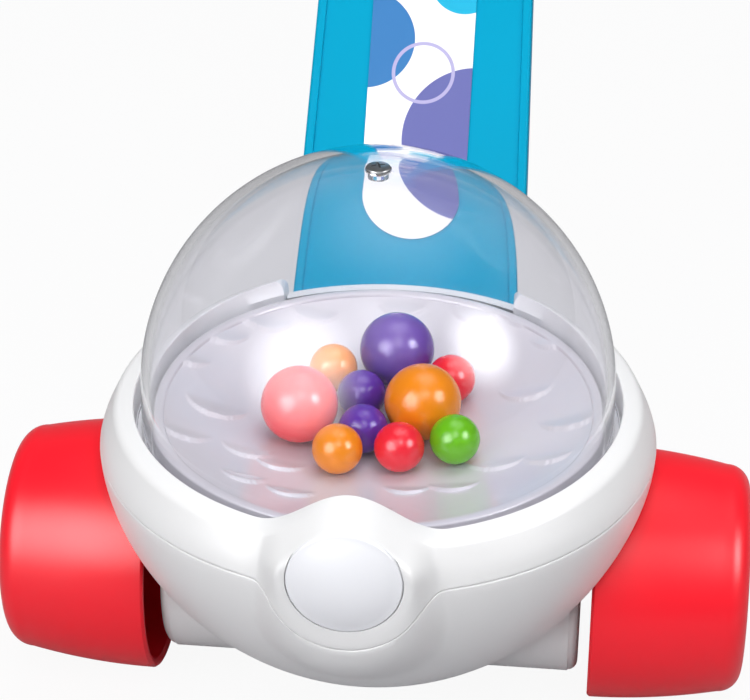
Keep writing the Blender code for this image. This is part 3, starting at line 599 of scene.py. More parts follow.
def rounded(obj, width):
    round_edges(obj, width)
    return keep_modifiers(obj)


def settle(obj, body, node, look, location=CENTRE):
    """Places a piece, gives it its material, ties it to its body and hides the CAD node it stands in
    for.
    """
    obj.location = location
    obj.data.materials.clear()
    obj.data.materials.append(look)
    obj.data.polygons.foreach_set("material_index", [0] * len(obj.data.polygons))
    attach(obj, body)
    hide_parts(node)


def linear(code):
    """Linear colour from a six-digit code."""
    values = [int(code[index : index + 2], 16) / 255 for index in (0, 2, 4)]
    return tuple(v / 12.92 if v < 0.04045 else ((v + 0.055) / 1.055) ** 2.4 for v in values)


def tinted(colour, factor):
    return tuple(min(1.0, channel * factor) for channel in colour)


class Look:
    """A material whose nodes are added one by one."""

    def __init__(self, name):
        self.material = bpy.data.materials.new(name)
        self.material.use_nodes = True
        self.nodes = self.material.node_tree.nodes
        self.links = self.material.node_tree.links
        self.shader = self.nodes["Principled BSDF"]
        self.place = self.nodes.new("ShaderNodeTexCoord").outputs["Object"]

    def link(self, output, socket):
        self.links.new(output, socket)

    def noise(self, scale, detail=2.0):
        node = self.nodes.new("ShaderNodeTexNoise")
        node.inputs["Scale"].default_value = scale
        node.inputs["Detail"].default_value = detail
        self.link(self.place, node.inputs["Vector"])
        return node.outputs["Fac"]

    def ramp(self, value, low, high, start=0.3, end=0.7):
        node = self.nodes.new("ShaderNodeMapRange")
        node.inputs["From Min"].default_value = start
        node.inputs["From Max"].default_value = end
        node.inputs["To Min"].default_value = low
        node.inputs["To Max"].default_value = high
        self.link(value, node.inputs["Value"])
        return node.outputs["Result"]

    def mix(self, share, first, second):
        node = self.nodes.new("ShaderNodeMix")
        node.data_type = "RGBA"
        sockets = node.inputs[0], node.inputs[6], node.inputs[7]
        for value, socket in zip((share, first, second), sockets):
            if isinstance(value, tuple):
                socket.default_value = (*value, 1.0)
            else:
                self.link(value, socket)
        return node.outputs[2]

    def math(self, operation, first, second=0.0):
        node = self.nodes.new("ShaderNodeMath")
        node.operation = operation
        for value, socket in ((first, node.inputs[0]), (second, node.inputs[1])):
            if isinstance(value, float):
                socket.default_value = value
            else:
                self.link(value, socket)
        return node.outputs[0]

    def bump(self, height, strength, distance):
        node = self.nodes.new("ShaderNodeBump")
        node.inputs["Strength"].default_value = strength
        node.inputs["Distance"].default_value = distance
        self.link(height, node.inputs["Height"])
        self.link(node.outputs["Normal"], self.shader.inputs["Normal"])

    def paint(self, share, first, second):
        self.link(self.mix(share, first, second), self.shader.inputs["Base Color"])

    def gloss(self, share, low, high):
        self.link(self.ramp(share, low, high), self.shader.inputs["Roughness"])

    def set(self, **values):
        for name, value in values.items():
            self.shader.inputs[name.replace("_", " ")].default_value = value


def moulded(name, code, roughness, grain=0.02, coat=0.0, spread=0.03, shine=0.5):
    """Injection-moulded plastic: faint colour drift, fine surface grain and uneven gloss."""
    look = Look(name)
    colour = linear(code)
    drift = look.ramp(look.noise(scale=9.0), 0.0, 1.0)
    look.paint(drift, tinted(colour, 1 - spread), tinted(colour, 1 + spread))
    look.gloss(look.noise(scale=40.0, detail=3.0), roughness - GLOSS_DRIFT, roughness + GLOSS_DRIFT)
    look.bump(look.noise(scale=900.0), strength=grain, distance=GRAIN_DEPTH)
    look.set(Coat_Weight=coat, Coat_Roughness=0.06, IOR=1.5, Specular_IOR_Level=shine)
    return look.material


def metal(name, code, roughness):
    """Turned steel with fine tool marks."""
    look = Look(name)
    colour = linear(code)
    marks = look.noise(scale=900.0, detail=3.0)
    look.paint(marks, tinted(colour, 0.8), tinted(colour, 1.1))
    look.gloss(marks, roughness - 2 * GLOSS_DRIFT, roughness + 2 * GLOSS_DRIFT)
    look.bump(marks, strength=0.1, distance=GRAIN_DEPTH)
    look.set(Metallic=1.0)
    return look.material


def clear_moulding(name):
    """Clear moulded plastic, faintly grey, with the slightest waviness. Lamps shine through it."""
    look = Look(name)
    colour = linear("fafafd")
    drift = look.ramp(look.noise(scale=20.0), 0.0, 1.0)
    look.paint(drift, tinted(colour, 0.985), tinted(colour, 1.01))
    look.gloss(look.noise(scale=35.0), 0.015, 0.03)
    look.bump(look.noise(scale=30.0), strength=0.02, distance=0.0006)
    look.set(Transmission_Weight=1.0, IOR=1.36)
    path = look.nodes.new("ShaderNodeLightPath")
    through = look.math("MAXIMUM", path.outputs["Is Shadow Ray"], path.outputs["Is Diffuse Ray"])
    veil = look.nodes.new("ShaderNodeBsdfTransparent")
    veil.inputs["Color"].default_value = (0.98, 0.98, 0.985, 1.0)
    both = look.nodes.new("ShaderNodeMixShader")
    look.link(through, both.inputs["Fac"])
    look.link(look.shader.outputs["BSDF"], both.inputs[1])
    look.link(veil.outputs["BSDF"], both.inputs[2])
    look.link(both.outputs["Shader"], look.nodes["Material Output"].inputs["Surface"])
    return look.material


def printed(name):
    """White film printed with plain dots and rings, under a thin gloss."""
    look = Look(name)
    drift = look.ramp(look.noise(scale=40.0), 0.0, 1.0)
    colour = look.mix(drift, linear("fafbfd"), linear("ffffff"))
    split = look.nodes.new("ShaderNodeSeparateXYZ")
    look.link(look.place, split.inputs["Vector"])
    for across, along, radius, line, code in DOTS:
        side = look.math("SUBTRACT", split.outputs["X"], across)
        rise = look.math("SUBTRACT", split.outputs["Z"], LABEL_FOOT + along)
        side_square, rise_square = look.math("MULTIPLY", side, side), look.math("MULTIPLY", rise, rise)
        away = look.math("SQRT", look.math("ADD", side_square, rise_square))
        reach = radius
        if line:
            away = look.math("ABSOLUTE", look.math("SUBTRACT", away, radius))
            reach = line / 2
        inside = look.ramp(away, 1.0, 0.0, reach - DOT_BLUR, reach + DOT_BLUR)
        colour = look.mix(inside, colour, linear(code))
    look.link(colour, look.shader.inputs["Base Color"])
    look.gloss(look.noise(scale=80.0, detail=3.0), 0.3, 0.38)
    look.bump(look.noise(scale=700.0), strength=0.03, distance=GRAIN_DEPTH)
    look.set(Specular_IOR_Level=0.15)
    return look.material


WHITE = moulded("white_moulding", "e9e9ea", roughness=0.38, spread=0.01, shine=0.55)
BADGE = moulded("badge_plastic", "f4f5fa", roughness=0.36, spread=0.008)
LAVENDER = moulded("lavender_moulding", "ccc9d1", roughness=0.22, grain=0.01, coat=0.3, spread=0.015)
RED = moulded("red_moulding", "fa0f26", roughness=0.32, grain=0.012, shine=0.52)
TURQUOISE = moulded("turquoise_moulding", "009fc6", roughness=0.34, shine=0.03)
DARK = moulded("dark_moulding", "2b2b2e", roughness=0.45)
RUBBER = moulded("pad_rubber_look", "d8d4c8", roughness=0.7, grain=0.2)
CLEAR = clear_moulding("clear_moulding")
PRINT = printed("dot_print")
STEEL = metal("steel_look", "b9bbbe", roughness=0.35)
BALL_COLOURS = {"purple": "5a2ba0", "red": "ee1c30", "orange": "f08a00", "green": "66b800"}
BALL_LOOKS = {
    "ball_" + colour: moulded(colour + "_ball", code, roughness=0.2, grain=0.01, coat=0.2, shine=0.35)
    for colour, code in BALL_COLOURS.items()
}


def handle_point(depth, along):
    """A point of the handle, behind its face and up from its foot, measured from the dome's axis."""
    return HANDLE_TURN @ Vector((0.0, depth, along)) - Vector(CENTRE)


def put_on_handle(obj):
    obj.data.transform(Matrix.Translation((0.0, -CENTRE_Y, 0.0)) @ HANDLE_TURN)
    return obj


def stick_half(along):
    """Half width of the stick at this distance from its foot."""
    return STICK_FOOT_HALF + (STICK_TOP_HALF - STICK_FOOT_HALF) * along / STICK_LENGTH


def stick_outline(gap, low, high):
    """(x, along) of the stick's face between two heights, grown by a gap."""
    right = [(stick_half(along) + gap, along) for along in (low, high)]
    return right + [(-half, along) for half, along in reversed(right)]


def notch_outline():
    """(x, z) of the gap in the ring's rear for the stick, with its upper corners rounded off."""
    half, floor = STICK_FOOT_HALF - NOTCH_INSET, RIM_Z - NOTCH_DROP
    top = RIM_Z + RING_RISE + REAR_RISE
    right = [(half, floor)]
    right += arc((half + NOTCH_ROUND, top - NOTCH_ROUND), NOTCH_ROUND, 180, 90, steps=12)
    right.append((half + NOTCH_ROUND, top + CUT_MARGIN))
    return right + [(-x, z) for x, z in reversed(right)]


def build_ring():
    ring = new_piece("ring_moulding", swept(ring_rows(), closed=True))
    notch = new_piece("notch", prism(notch_outline(), 0.0, RING_RADIUS + CUT_MARGIN, "Y"))
    seat_back = BADGE_HIGH.y - CENTRE_Y + FIT
    seat = rod(BADGE_RADIUS + FIT, BOSS_FACE_Y - CUT_MARGIN, seat_back, "Y", (0.0, BOSS_Z))
    carve(ring, "DIFFERENCE", notch, new_piece("seat", seat))
    settle(ring, "base", "bumper_ring", WHITE)


def well(side, wall):
    """The space of one wheel in the bowl's side, grown by a wall."""
    inner, outer = TUNNEL_HALF - TUNNEL_CORNER - wall, WHEEL_HIGH.x
    low, high = (inner, outer) if side > 0 else (-outer, -inner)
    return new_piece("well", rod(WELL_RADIUS + wall, low, high, "X", (0.0, AXLE_Z)))


def heel_outline():
    """(y, z) of the rear leg, from the bowl and the handle's socket down to the floor."""
    middle = handle_point(STICK_THICK / 2, 0.0)
    back = handle_point(STICK_THICK + SOCKET_WALL, 0.0)
    foot = back.y + HEEL_SPLAY
    upper = [(HEEL_ROOT, AXLE_Z), (middle.y, middle.z), (back.y, back.z)]
    return upper + [(foot, 0.0), (foot - HEEL_LENGTH, 0.0)]


def heel_pocket():
    """(y, z) of the hollow in the rear leg, open to the floor and closed at the axle's height."""
    root, _, back, foot, toe = heel_outline()
    top = AXLE_Z - HEEL_WALL
    rear = foot[0] + (back[0] - foot[0]) * top / back[1]
    front = toe[0] + (root[0] - toe[0]) * top / root[1]
    return [
        (front + 2 * HEEL_WALL, top),
        (rear - HEEL_WALL, top),
        (foot[0] - HEEL_WALL, -HEEL_WALL),
        (toe[0] + HEEL_WALL, -HEEL_WALL),
    ]


def bowl_hollow():
    radius, depth = RING_RADIUS - SHELL_WALL, BOWL_DEPTH - SHELL_WALL
    outline = [(0.0, SEAM_Z + CUT_MARGIN), (radius, SEAM_Z + CUT_MARGIN)]
    for turn in np.linspace(0.0, math.pi / 2, HOLLOW_ROWS):
        drop = math.sin(turn)
        share = max(0.0, 1 - drop**BOWL_FULLNESS) ** (1 / BOWL_FULLNESS)
        outline.append((radius * share, SEAM_Z - FIT - depth * drop))
    hollow = new_piece("hollow", lathe(outline, FINE_STEPS))
    carve(hollow, "DIFFERENCE", well(-1, SHELL_WALL), well(1, SHELL_WALL))
    half = TUNNEL_HALF - SHELL_WALL
    bore = rod(TUNNEL_RADIUS - SHELL_WALL, -half, half, "X", (0.0, AXLE_Z))
    return carve(hollow, "UNION", new_piece("tunnel_bore", bore))


def build_shell():
    """The bowl with its wheel wells, its axle tunnel, its heel and the handle's socket."""
    shell = new_piece("base_bowl", swept(shell_rows(), caps=True))
    carve(shell, "DIFFERENCE", well(-1, 0.0), well(1, 0.0))
    tunnel = rod(TUNNEL_RADIUS - FIT, -TUNNEL_HALF, TUNNEL_HALF, "X", (0.0, AXLE_Z))
    tunnel = rounded(new_piece("tunnel", tunnel), TUNNEL_CORNER)
    heel = rounded(new_piece("heel", prism(heel_outline(), -HEEL_HALF, HEEL_HALF, "X")), HEEL_ROUND)
    carve(shell, "UNION", tunnel, heel)
    pocket_half = HEEL_HALF - HEEL_WALL
    pocket = new_piece("pocket", prism(heel_pocket(), -pocket_half, pocket_half, "X"))
    carve(shell, "DIFFERENCE", bowl_hollow(), pocket)
    socket = stick_outline(SOCKET_WALL, -SOCKET_WALL, SOCKET_DEPTH - SOCKET_TOP_GAP)
    socket = new_piece("socket", prism(socket, -SOCKET_WALL, STICK_THICK + SOCKET_WALL, "Y"))
    carve(shell, "UNION", put_on_handle(rounded(socket, SOCKET_ROUND)))
    slot = prism(stick_outline(FIT, -FIT, STICK_LENGTH), -FIT, STICK_THICK + FIT, "Y")
    slot = new_piece("slot", slot)
    reach = TUNNEL_HALF + CUT_MARGIN
    hole = new_piece("axle_hole", rod(AXLE_HOLE, -reach, reach, "X", (0.0, AXLE_Z)))
    carve(shell, "DIFFERENCE", put_on_handle(slot), hole)
    settle(shell, "base", "lower_shell", WHITE)


def build_badge():
    """A crowned disc with a rounded edge."""
    back, edge = BADGE_HIGH.y - CENTRE_Y, BADGE_LOW.y - CENTRE_Y + BADGE_EDGE
    flat = BADGE_RADIUS - BADGE_ROUND
    shares = np.linspace(0.0, 1.0, CROWN_ROWS)
    outline = [(share * flat, edge - BADGE_CROWN * (1 - share**2)) for share in shares]
    outline += arc((flat, edge + BADGE_ROUND), BADGE_ROUND, -90, 0, steps=5)[1:]
    outline += [(BADGE_RADIUS, back), (0.0, back)]
    bm = lathe(outline, FINE_STEPS)
    bmesh.ops.rotate(bm, verts=bm.verts, matrix=Matrix.Rotation(-math.pi / 2, 3, "X"))
    bmesh.ops.translate(bm, verts=bm.verts, vec=(0.0, 0.0, BOSS_Z))
    settle(new_piece("badge_face", bm), "base", "badge_disc", BADGE)


def dish_floor(radius):
    return RIM_Z - TRAY_LIP_STEP - TRAY_DISH * (1 - (radius / DISH_RADIUS) ** 2)


def scaled_floor(x, y):
    """Height of the dish with its scales, each raised towards the edge that faces the front."""
    height = dish_floor(np.hypot(x, y))
    for edge_x, edge_y, width in SCALES:
        radius = SCALE_RADIUS * width
        local_x, local_y = x - edge_x, y - edge_y - radius
        away = np.hypot(local_x, local_y)
        rise = smoothstep(SCALE_START * radius, radius, -local_y)
        height = height + SCALE_STEP * rise * (1 - smoothstep(radius - SCALE_EDGE, radius, away))
    return height


def tray_rows():
    angles = np.linspace(0.0, 2 * math.pi, TRAY_STEPS, endpoint=False)

    def row(radius, height=None):
        x, y = radius * np.cos(angles), radius * np.sin(angles)
        z = scaled_floor(x, y) if height is None else height * np.ones_like(x)
        return np.stack([x, y, z], axis=-1)

    lip = [(DISH_RADIUS + TRAY_EDGE / 3, RIM_Z - TRAY_EDGE / 2), (DISH_RADIUS + TRAY_EDGE, RIM_Z)]
    lip += arc((TRAY_RADIUS - TRAY_EDGE, RIM_Z - TRAY_EDGE), TRAY_EDGE, 90, 0, steps=4)
    lip += [(TRAY_RADIUS, LEDGE_Z + FIT), (TRAY_RADIUS - TRAY_WALL, LEDGE_Z + FIT)]
    lip += [(TRAY_RADIUS - TRAY_WALL, RIM_Z - TRAY_LIP_STEP - TRAY_WALL)]
    under = np.linspace(DISH_RADIUS, STRIKER_HOLE, UNDERSIDE_ROWS)[1:]
    rows = [row(radius) for radius in np.linspace(STRIKER_HOLE, DISH_RADIUS, DISH_ROWS)]
    rows += [row(radius, height) for radius, height in lip]
    return rows + [row(radius, dish_floor(radius) - TRAY_WALL) for radius in under]


def build_tray():
    tray = new_piece("tray_dish", swept(tray_rows(), closed=True))
    y, z = PIVOT
    top = dish_floor(y - LUG_HALF) - TRAY_WALL / 2
    shape = arc(PIVOT, LUG_HALF, 180, 360, steps=16) + [(y + LUG_HALF, top), (y - LUG_HALF, top)]
    inner = HAMMER_HIGH.x + RUNNING_GAP
    for side in (-1, 1):
        low, high = sorted((side * inner, side * (inner + LUG_THICK)))
        carve(tray, "UNION", new_piece("lug", prism(shape, low, high, "X")))
    reach = inner + LUG_THICK + CUT_MARGIN
    pin_hole = rod(PIN_HIGH.z - z + FIT, -reach, reach, "X", PIVOT)
    carve(tray, "DIFFERENCE", new_piece("pin_hole", pin_hole))
    settle(smooth(tray, angle=50), "base", "tray", LAVENDER)


def build_dome():
    inner, flange, skirt = DOME_RADIUS - DOME_WALL, RING_BORE - FIT, DOME_LOW.z
    shoulder = skirt + DOME_FLANGE
    outside = arc((0.0, DOME_Z), DOME_RADIUS, 90, 0, DOME_ROWS)
    inside = arc((0.0, DOME_Z), inner, 0, 90, DOME_ROWS)
    outside[0], inside[-1] = (0.0, DOME_Z + DOME_RADIUS), (0.0, DOME_Z + inner)
    foot = [(DOME_RADIUS, shoulder + DOME_EDGE), (DOME_RADIUS + DOME_EDGE, shoulder)]
    foot += [(flange - DOME_EDGE, shoulder), (flange, shoulder - DOME_EDGE)]
    foot += [(flange, skirt + DOME_EDGE), (flange - DOME_EDGE, skirt)]
    foot += [(inner + DOME_EDGE, skirt), (inner, skirt + DOME_EDGE)]
    dome = new_piece("dome_shell", lathe(outside + foot + inside, ROUND_STEPS))
    seat = SCREW_HIGH.z - SCREW_HEAD_THICK - FIT
    end = SCREW_LOW.z - FIT
    boss = rod(SCREW_RADIUS + SCREW_BOSS_WALL, end, seat, "Z")
    sink = rod(SCREW_HEAD + FIT, seat, seat + CUT_MARGIN, "Z")
    hole = rod(SCREW_RADIUS + FIT, end - CUT_MARGIN, seat + CUT_MARGIN, "Z")
    carve(dome, "UNION", new_piece("screw_boss", boss))
    carve(dome, "DIFFERENCE", new_piece("screw_sink", sink), new_piece("screw_hole", hole))
    settle(dome, "base", "dome", CLEAR)


def build_screw():
    """A pan-head screw with a cross recess."""
    top, under = SCREW_HIGH.z, SCREW_HIGH.z - SCREW_HEAD_THICK
    turns = np.linspace(math.pi / 2, 0.0, SCREW_ROWS)
    half_thick = SCREW_HEAD_THICK / 2
    outline = [(SCREW_HEAD * math.cos(turn), top - half_thick * (1 - math.sin(turn))) for turn in turns]
    outline[0] = (0.0, top)
    outline += [(SCREW_HEAD, under), (SCREW_RADIUS, under)]
    outline += [(SCREW_RADIUS, SCREW_LOW.z + SCREW_RADIUS), (0.0, SCREW_LOW.z)]
    screw = new_piece("screw_head", lathe(outline, FINE_STEPS))
    slot = rectangle(-RECESS_HALF, RECESS_HALF, -RECESS_WIDTH / 2, RECESS_WIDTH / 2)
    for spin in RECESS_DEGREES:
        bar = prism(slot, top - RECESS_DEPTH, top + CUT_MARGIN, "Z")
        bmesh.ops.rotate(bar, verts=bar.verts, matrix=Matrix.Rotation(math.radians(spin), 3, "Z"))
        carve(screw, "DIFFERENCE", new_piece("recess", bar))
    settle(screw, "base", "crown_screw", STEEL)


def barrel_radius(x):
    return WHEEL_RADIUS - WHEEL_TAPER * ((x - WHEEL_LOW.x) / WHEEL_WIDTH) ** 2


def wheel_outline():
    """(radius, x) of one hollow wheel with rounded rims, its hub and blind bore."""
    inner, outer = WHEEL_LOW.x, WHEEL_HIGH.x
    bend = outer - WHEEL_EDGE
    edge = barrel_radius(bend) - WHEEL_EDGE
    rim = barrel_radius(inner) - WHEEL_WALL / 2
    outline = [(0.0, outer)]
    outline += arc((edge, bend), WHEEL_EDGE, 90, 0, steps=12)
    outside = np.linspace(bend, inner + WHEEL_LIP, BARREL_ROWS)[1:]
    outline += [(barrel_radius(x), x) for x in outside]
    outline += [(rim + WHEEL_LIP, inner + WHEEL_LIP / 4), (rim + WHEEL_LIP / 2, inner)]
    outline += [(rim - WHEEL_LIP / 2, inner), (rim - WHEEL_LIP, inner + WHEEL_LIP / 4)]
    inside = np.linspace(inner + WHEEL_LIP, bend, BARREL_INNER_ROWS)
    outline += [(barrel_radius(x) - WHEEL_WALL, x) for x in inside]
    outline += arc((edge, bend), WHEEL_EDGE - WHEEL_WALL, 0, 90, steps=6)[1:]
    outline += [(HUB_RADIUS, outer - WHEEL_WALL), (HUB_RADIUS, inner), (HUB_BORE, inner)]
    return outline + [(HUB_BORE, inner + HUB_BORE_DEPTH), (0.0, inner + HUB_BORE_DEPTH)]


def build_wheels():
    for name, node, side in (("barrel_left", "wheel_left", -1), ("barrel_right", "wheel_right", 1)):
        outline = [(radius, side * x) for radius, x in wheel_outline()]
        wheel = new_piece(name, lathe(outline, ROUND_STEPS, "X"))
        settle(wheel, "wheel_set", node, RED, (0.0, CENTRE_Y, AXLE_Z))


def ball_outline(radius):
    """(radius, height) of a ball with the faint bead of its parting line."""
    outline = []
    for turn in np.linspace(90, -90, BALL_ROWS):
        reach = radius - BALL_BEAD * (1 - math.exp(-((turn / BALL_BEAD_SPREAD) ** 2)))
        outline.append((reach * math.cos(math.radians(turn)), reach * math.sin(math.radians(turn))))
    outline[0], outline[-1] = (0.0, outline[0][1]), (0.0, outline[-1][1])
    return outline


def build_balls():
    """The balls, each turned another way."""
    balls = [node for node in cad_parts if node.startswith("ball_")]
    for index, node in enumerate(balls):
        low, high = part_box(node)
        outline = ball_outline((high.z - low.z) / 2)
        ball = new_piece(node + "_shell", lathe(outline, BALL_STEPS, closed=False))
        ball.data.transform(Matrix.Rotation(index, 4, "X") @ Matrix.Rotation(2 * index, 4, "Y"))
        colour = node.rsplit("_", 1)[0]
        settle(ball, node, node, BALL_LOOKS[colour], (low + high) / 2)


def stick_section(half):
    """(x, depth) of the stick's open-backed section, with rounded edges and a rail at each side."""
    rail, wall, floor = half - RAIL_WIDTH, half - STICK_WALL, RAIL_HEIGHT + STICK_WALL
    right = [(rail, RAIL_HEIGHT, RAIL_FOOT_ROUND), (rail, 0.0, RAIL_ROUND), (half, 0.0, STICK_ROUND)]
    right += [(half, STICK_THICK, STICK_BACK_ROUND), (wall, STICK_THICK, STICK_BACK_ROUND)]
    right.append((wall, floor, STICK_INNER_ROUND))
    corners = right + [(-x, depth, radius) for x, depth, radius in reversed(right)]
    points = []
    for index, (x, depth, radius) in enumerate(corners):
        here = Vector((x, depth))
        before, after = Vector(corners[index - 1][:2]), Vector(corners[(index + 1) % len(corners)][:2])
        start = here + (before - here).normalized() * radius
        end = here + (after - here).normalized() * radius
        for share in (0.0, 0.25, 0.5, 0.75, 1.0):
            points.append((1 - share) ** 2 * start + 2 * share * (1 - share) * here + share**2 * end)
    return points


def build_stick():
    rows = []
    for along in (0.0, STICK_LENGTH):
        rows.append([(point.x, point.y, along) for point in stick_section(stick_half(along))])
    stick = new_piece("handle_bar", swept(rows, caps=True))
    front, back = RAIL_HEIGHT + STICK_WALL / 2, STICK_THICK - STICK_WALL
    starts = [STICK_LENGTH * rib / (STICK_RIBS + 1) for rib in range(1, STICK_RIBS + 1)]
    for low in [FIT] + starts + [STICK_LENGTH - STICK_WALL - FIT]:
        half = stick_half(low) - STICK_WALL / 2
        plate = rectangle(-half, half, low, low + STICK_WALL)
        carve(stick, "UNION", new_piece("rib", prism(plate, front, back, "Y")))
    stick.data.transform(Matrix.Rotation(-HANDLE_LEAN, 4, "X"))
    settle(stick, "base", "handle_stick", TURQUOISE, HANDLE_FOOT)


def build_label():
    back, top = RAIL_HEIGHT - FIT, STICK_LENGTH - LABEL_TOP_MARGIN
    outline = arc((0.0, LABEL_FOOT + LABEL_HALF), LABEL_HALF, 180, 360, steps=72)
    outline += [(LABEL_HALF, top), (-LABEL_HALF, top)]
    label = new_piece("label_film", prism(outline, back - LABEL_THICK, back, "Y"))
    settle(label, "base", "handle_label", PRINT)
    label.matrix_world = HANDLE_TURN


def build_grip():
    """A round bar bent into a loop, joined to a sleeve over the stick's top."""
    low = STICK_LENGTH + GRIP_RADIUS
    centre = low + GRIP_HEIGHT / 2
    wide, tall = GRIP_HALF - GRIP_CORNER, GRIP_HEIGHT / 2 - GRIP_CORNER
    corners = ((wide, tall, 0), (-wide, tall, 90), (-wide, -tall, 180), (wide, -tall, 270))
    path = []
    for x, z, start in corners:
        turn = arc((x, centre + z), GRIP_CORNER, start, start + 90, steps=18)
        path += [np.array([across, STICK_THICK / 2, along]) for across, along in turn]
    bend = np.linspace(0.0, 2 * math.pi, GRIP_STEPS, endpoint=False)[:, None]
    back = np.array([0.0, 1.0, 0.0])
    rows = []
    for before, here, after in zip(path[-1:] + path, path, path[1:] + path[:1]):
        out = np.cross(back, after - before)
        out /= np.linalg.norm(out)
        rows.append(here + GRIP_RADIUS * (np.cos(bend) * out + np.sin(bend) * back))
    grip = new_piece("grip_bar", swept(rows, closed=True))
    foot = STICK_LENGTH - GRIP_SOCKET
    half = stick_half(foot) + GRIP_WALL
    sleeve = prism(rectangle(-half, half, foot, low), -GRIP_WALL, STICK_THICK + GRIP_WALL, "Y")
    carve(grip, "UNION", rounded(new_piece("grip_sleeve", sleeve), GRIP_ROUND))
    bore = prism(stick_outline(FIT, 0.0, STICK_LENGTH + FIT), -FIT, STICK_THICK + FIT, "Y")
    carve(grip, "DIFFERENCE", new_piece("grip_bore", bore))
    grip.data.transform(Matrix.Rotation(-HANDLE_LEAN, 4, "X"))
    settle(grip, "base", "grip", TURQUOISE, HANDLE_FOOT)


def build_spring():
    """The hammer's coiled return spring, built as one still coil; the real spring is pressed up against
    the tray as the hammer rises.
    """
    low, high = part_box("return_spring")
    middle = (low + high) / 2
    coil, rise = (high.x - low.x) / 2 - SPRING_WIRE, high.z - low.z - 2 * SPRING_WIRE
    bend = np.linspace(0.0, 2 * math.pi, WIRE_STEPS, endpoint=False)[:, None]
    up = np.array([0.0, 0.0, 1.0])
    rows = []
    for share in np.linspace(0.0, 1.0, SPRING_TURN_ROWS * SPRING_TURNS + 1):
        turn = 2 * math.pi * SPRING_TURNS * share
        out = np.array([math.cos(turn), math.sin(turn), 0.0])
        wire = SPRING_WIRE * (np.cos(bend) * out + np.sin(bend) * up)
        rows.append(coil * out + rise * (share - 0.5) * up + wire)
    spring = smooth(new_piece("spring_coil", swept(rows, caps=True)), angle=50)
    settle(spring, "base", "return_spring", STEEL, middle)
    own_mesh(spring)


# CAD pieces whose shape is right, and their materials
KEPT = {
    "axle": STEEL,
    "cam": WHITE,
    "bushing_left": DARK,
    "bushing_right": DARK,
    "hammer": DARK,
    "striker_pad": RUBBER,
    "hammer_pin": STEEL,
}


def dress_kept():
    """Gives the kept pieces their materials and rounds their edges."""
    for name, look in KEPT.items():
        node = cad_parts[name]
        node.data.materials.clear()
        node.data.materials.append(look)
        weld = node.modifiers.new("weld", "WELD")
        weld.merge_threshold = WELD_REACH
        round_edges(node, KEPT_ROUND, segments=3)


def make_camera():
    data = bpy.data.cameras.new("camera")
    data.sensor_width = CAMERA_SENSOR
    data.lens = CAMERA_LENS
    camera = bpy.data.objects.new("camera", data)
    camera.location = CAMERA_PLACE
    camera.rotation_euler = (math.pi / 2 + CAMERA_PITCH, 0.0, CAMERA_YAW)
    bpy.context.scene.collection.objects.link(camera)
    bpy.context.scene.camera = camera


def make_softbox(name, direction, size, strength, core, card=False):
    """A square lamp aimed at the dome, brightest in its core. A card gleams but lights nothing."""
    data = bpy.data.lights.new(name, "AREA")
    data.shape = "SQUARE"
    data.size = size
    data.energy = strength
    lamp = bpy.data.objects.new(name, data)
    lamp.visible_diffuse = not card
    lamp.visible_glossy = card
    aim = Vector((0.0, CENTRE_Y, DOME_Z))
    lamp.location = aim + (CARD_DISTANCE if card else LAMP_DISTANCE) * Vector(direction).normalized()
    lamp.rotation_euler = (aim - lamp.location).to_track_quat("-Z", "Y").to_euler()
    data.use_nodes = True
    nodes, links = data.node_tree.nodes, data.node_tree.links
    away = nodes.new("ShaderNodeVectorMath")
    away.operation = "DISTANCE"
    away.inputs[1].default_value = (0.5, 0.5, 0.0)
    links.new(nodes.new("ShaderNodeNewGeometry").outputs["Parametric"], away.inputs[0])
    fade = nodes.new("ShaderNodeMapRange")
    fade.interpolation_type = "SMOOTHSTEP"
    fade.inputs["From Min"].default_value = core
    fade.inputs["From Max"].default_value = 0.5
    fade.inputs["To Min"].default_value = 1.0
    fade.inputs["To Max"].default_value = 0.0
    links.new(away.outputs["Value"], fade.inputs["Value"])
    links.new(fade.outputs["Result"], nodes["Emission"].inputs["Strength"])
    bpy.context.scene.collection.objects.link(lamp)


def make_world():
    """Even light all round, and white where it is seen."""
    world = bpy.data.worlds.new("studio")
    bpy.context.scene.world = world
    world.use_nodes = True
    nodes, links = world.node_tree.nodes, world.node_tree.links
    level = nodes.new("ShaderNodeMapRange")
    level.inputs["To Min"].default_value = WORLD_LIGHT
    level.inputs["To Max"].default_value = WORLD_SEEN
    links.new(nodes.new("ShaderNodeLightPath").outputs["Is Camera Ray"], level.inputs["Value"])
    nodes["Background"].inputs["Color"].default_value = PURE_WHITE
    links.new(level.outputs["Result"], nodes["Background"].inputs["Strength"])


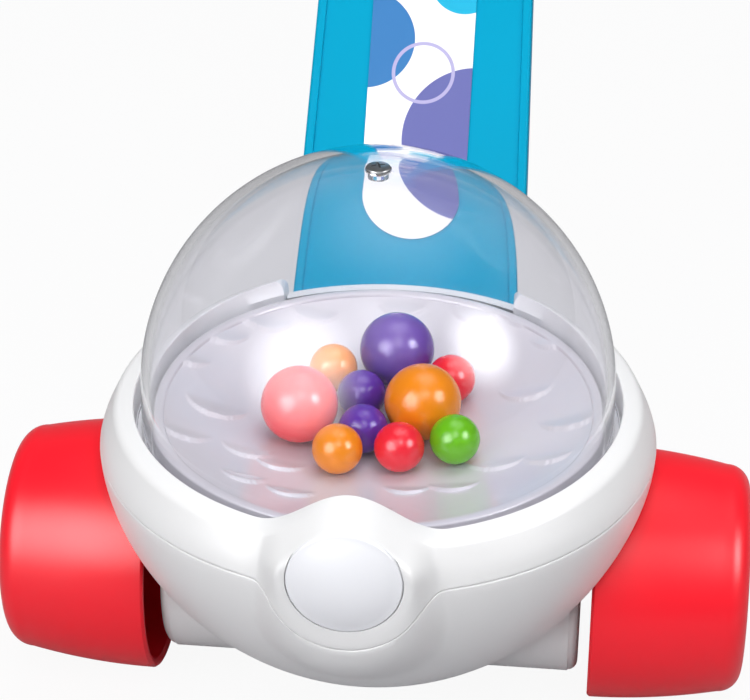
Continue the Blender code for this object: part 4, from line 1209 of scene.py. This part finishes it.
def make_floor():
    """A pale floor that is nearly white where it is seen, with the toy's soft shadow."""
    bm = bmesh.new()
    bmesh.ops.create_grid(bm, x_segments=1, y_segments=1, size=FLOOR_HALF)
    floor = new_piece("floor", bm)
    floor.location.z = -FLOOR_DROP
    look = bpy.data.materials.new("pale_floor")
    look.use_nodes = True
    nodes, links = look.node_tree.nodes, look.node_tree.links
    paint = nodes["Principled BSDF"]
    paint.inputs["Base Color"].default_value = FLOOR_PAINT
    paint.inputs["Roughness"].default_value = FLOOR_ROUGHNESS
    glow = nodes.new("ShaderNodeEmission")
    glow.inputs["Color"].default_value = PURE_WHITE
    glow.inputs["Strength"].default_value = FLOOR_GLOW
    path = nodes.new("ShaderNodeLightPath").outputs
    through = nodes.new("ShaderNodeMath")
    through.operation = "MULTIPLY"
    through.inputs[1].default_value = FLOOR_THROUGH
    links.new(path["Is Transmission Ray"], through.inputs[0])
    share = nodes.new("ShaderNodeMath")
    share.operation = "MULTIPLY_ADD"
    share.inputs[1].default_value = FLOOR_SEEN
    links.new(path["Is Camera Ray"], share.inputs[0])
    links.new(through.outputs[0], share.inputs[2])
    both = nodes.new("ShaderNodeMixShader")
    links.new(share.outputs[0], both.inputs["Fac"])
    links.new(paint.outputs["BSDF"], both.inputs[1])
    links.new(glow.outputs["Emission"], both.inputs[2])
    links.new(both.outputs["Shader"], nodes["Material Output"].inputs["Surface"])
    floor.data.materials.append(look)


build_ring()
build_shell()
build_badge()
build_tray()
build_dome()
build_screw()
build_wheels()
build_balls()
build_stick()
build_label()
build_grip()
build_spring()
dress_kept()
make_camera()
make_softbox("softbox_left", LEFT, size=1.3, strength=19.0, core=0.1)
make_softbox("softbox_right", RIGHT, size=0.75, strength=10.0, core=0.0)
make_softbox("softbox_top", TOP, size=1.6, strength=30.0, core=0.0)
make_softbox("softbox_front", FRONT, size=1.0, strength=20.0, core=0.0)
make_softbox("card_left", LEFT, size=1.35, strength=46.0, core=0.1, card=True)
make_softbox("card_right", RIGHT, size=0.8, strength=30.0, core=0.0, card=True)
make_world()
make_floor()
bpy.context.scene.view_settings.view_transform = "Standard"
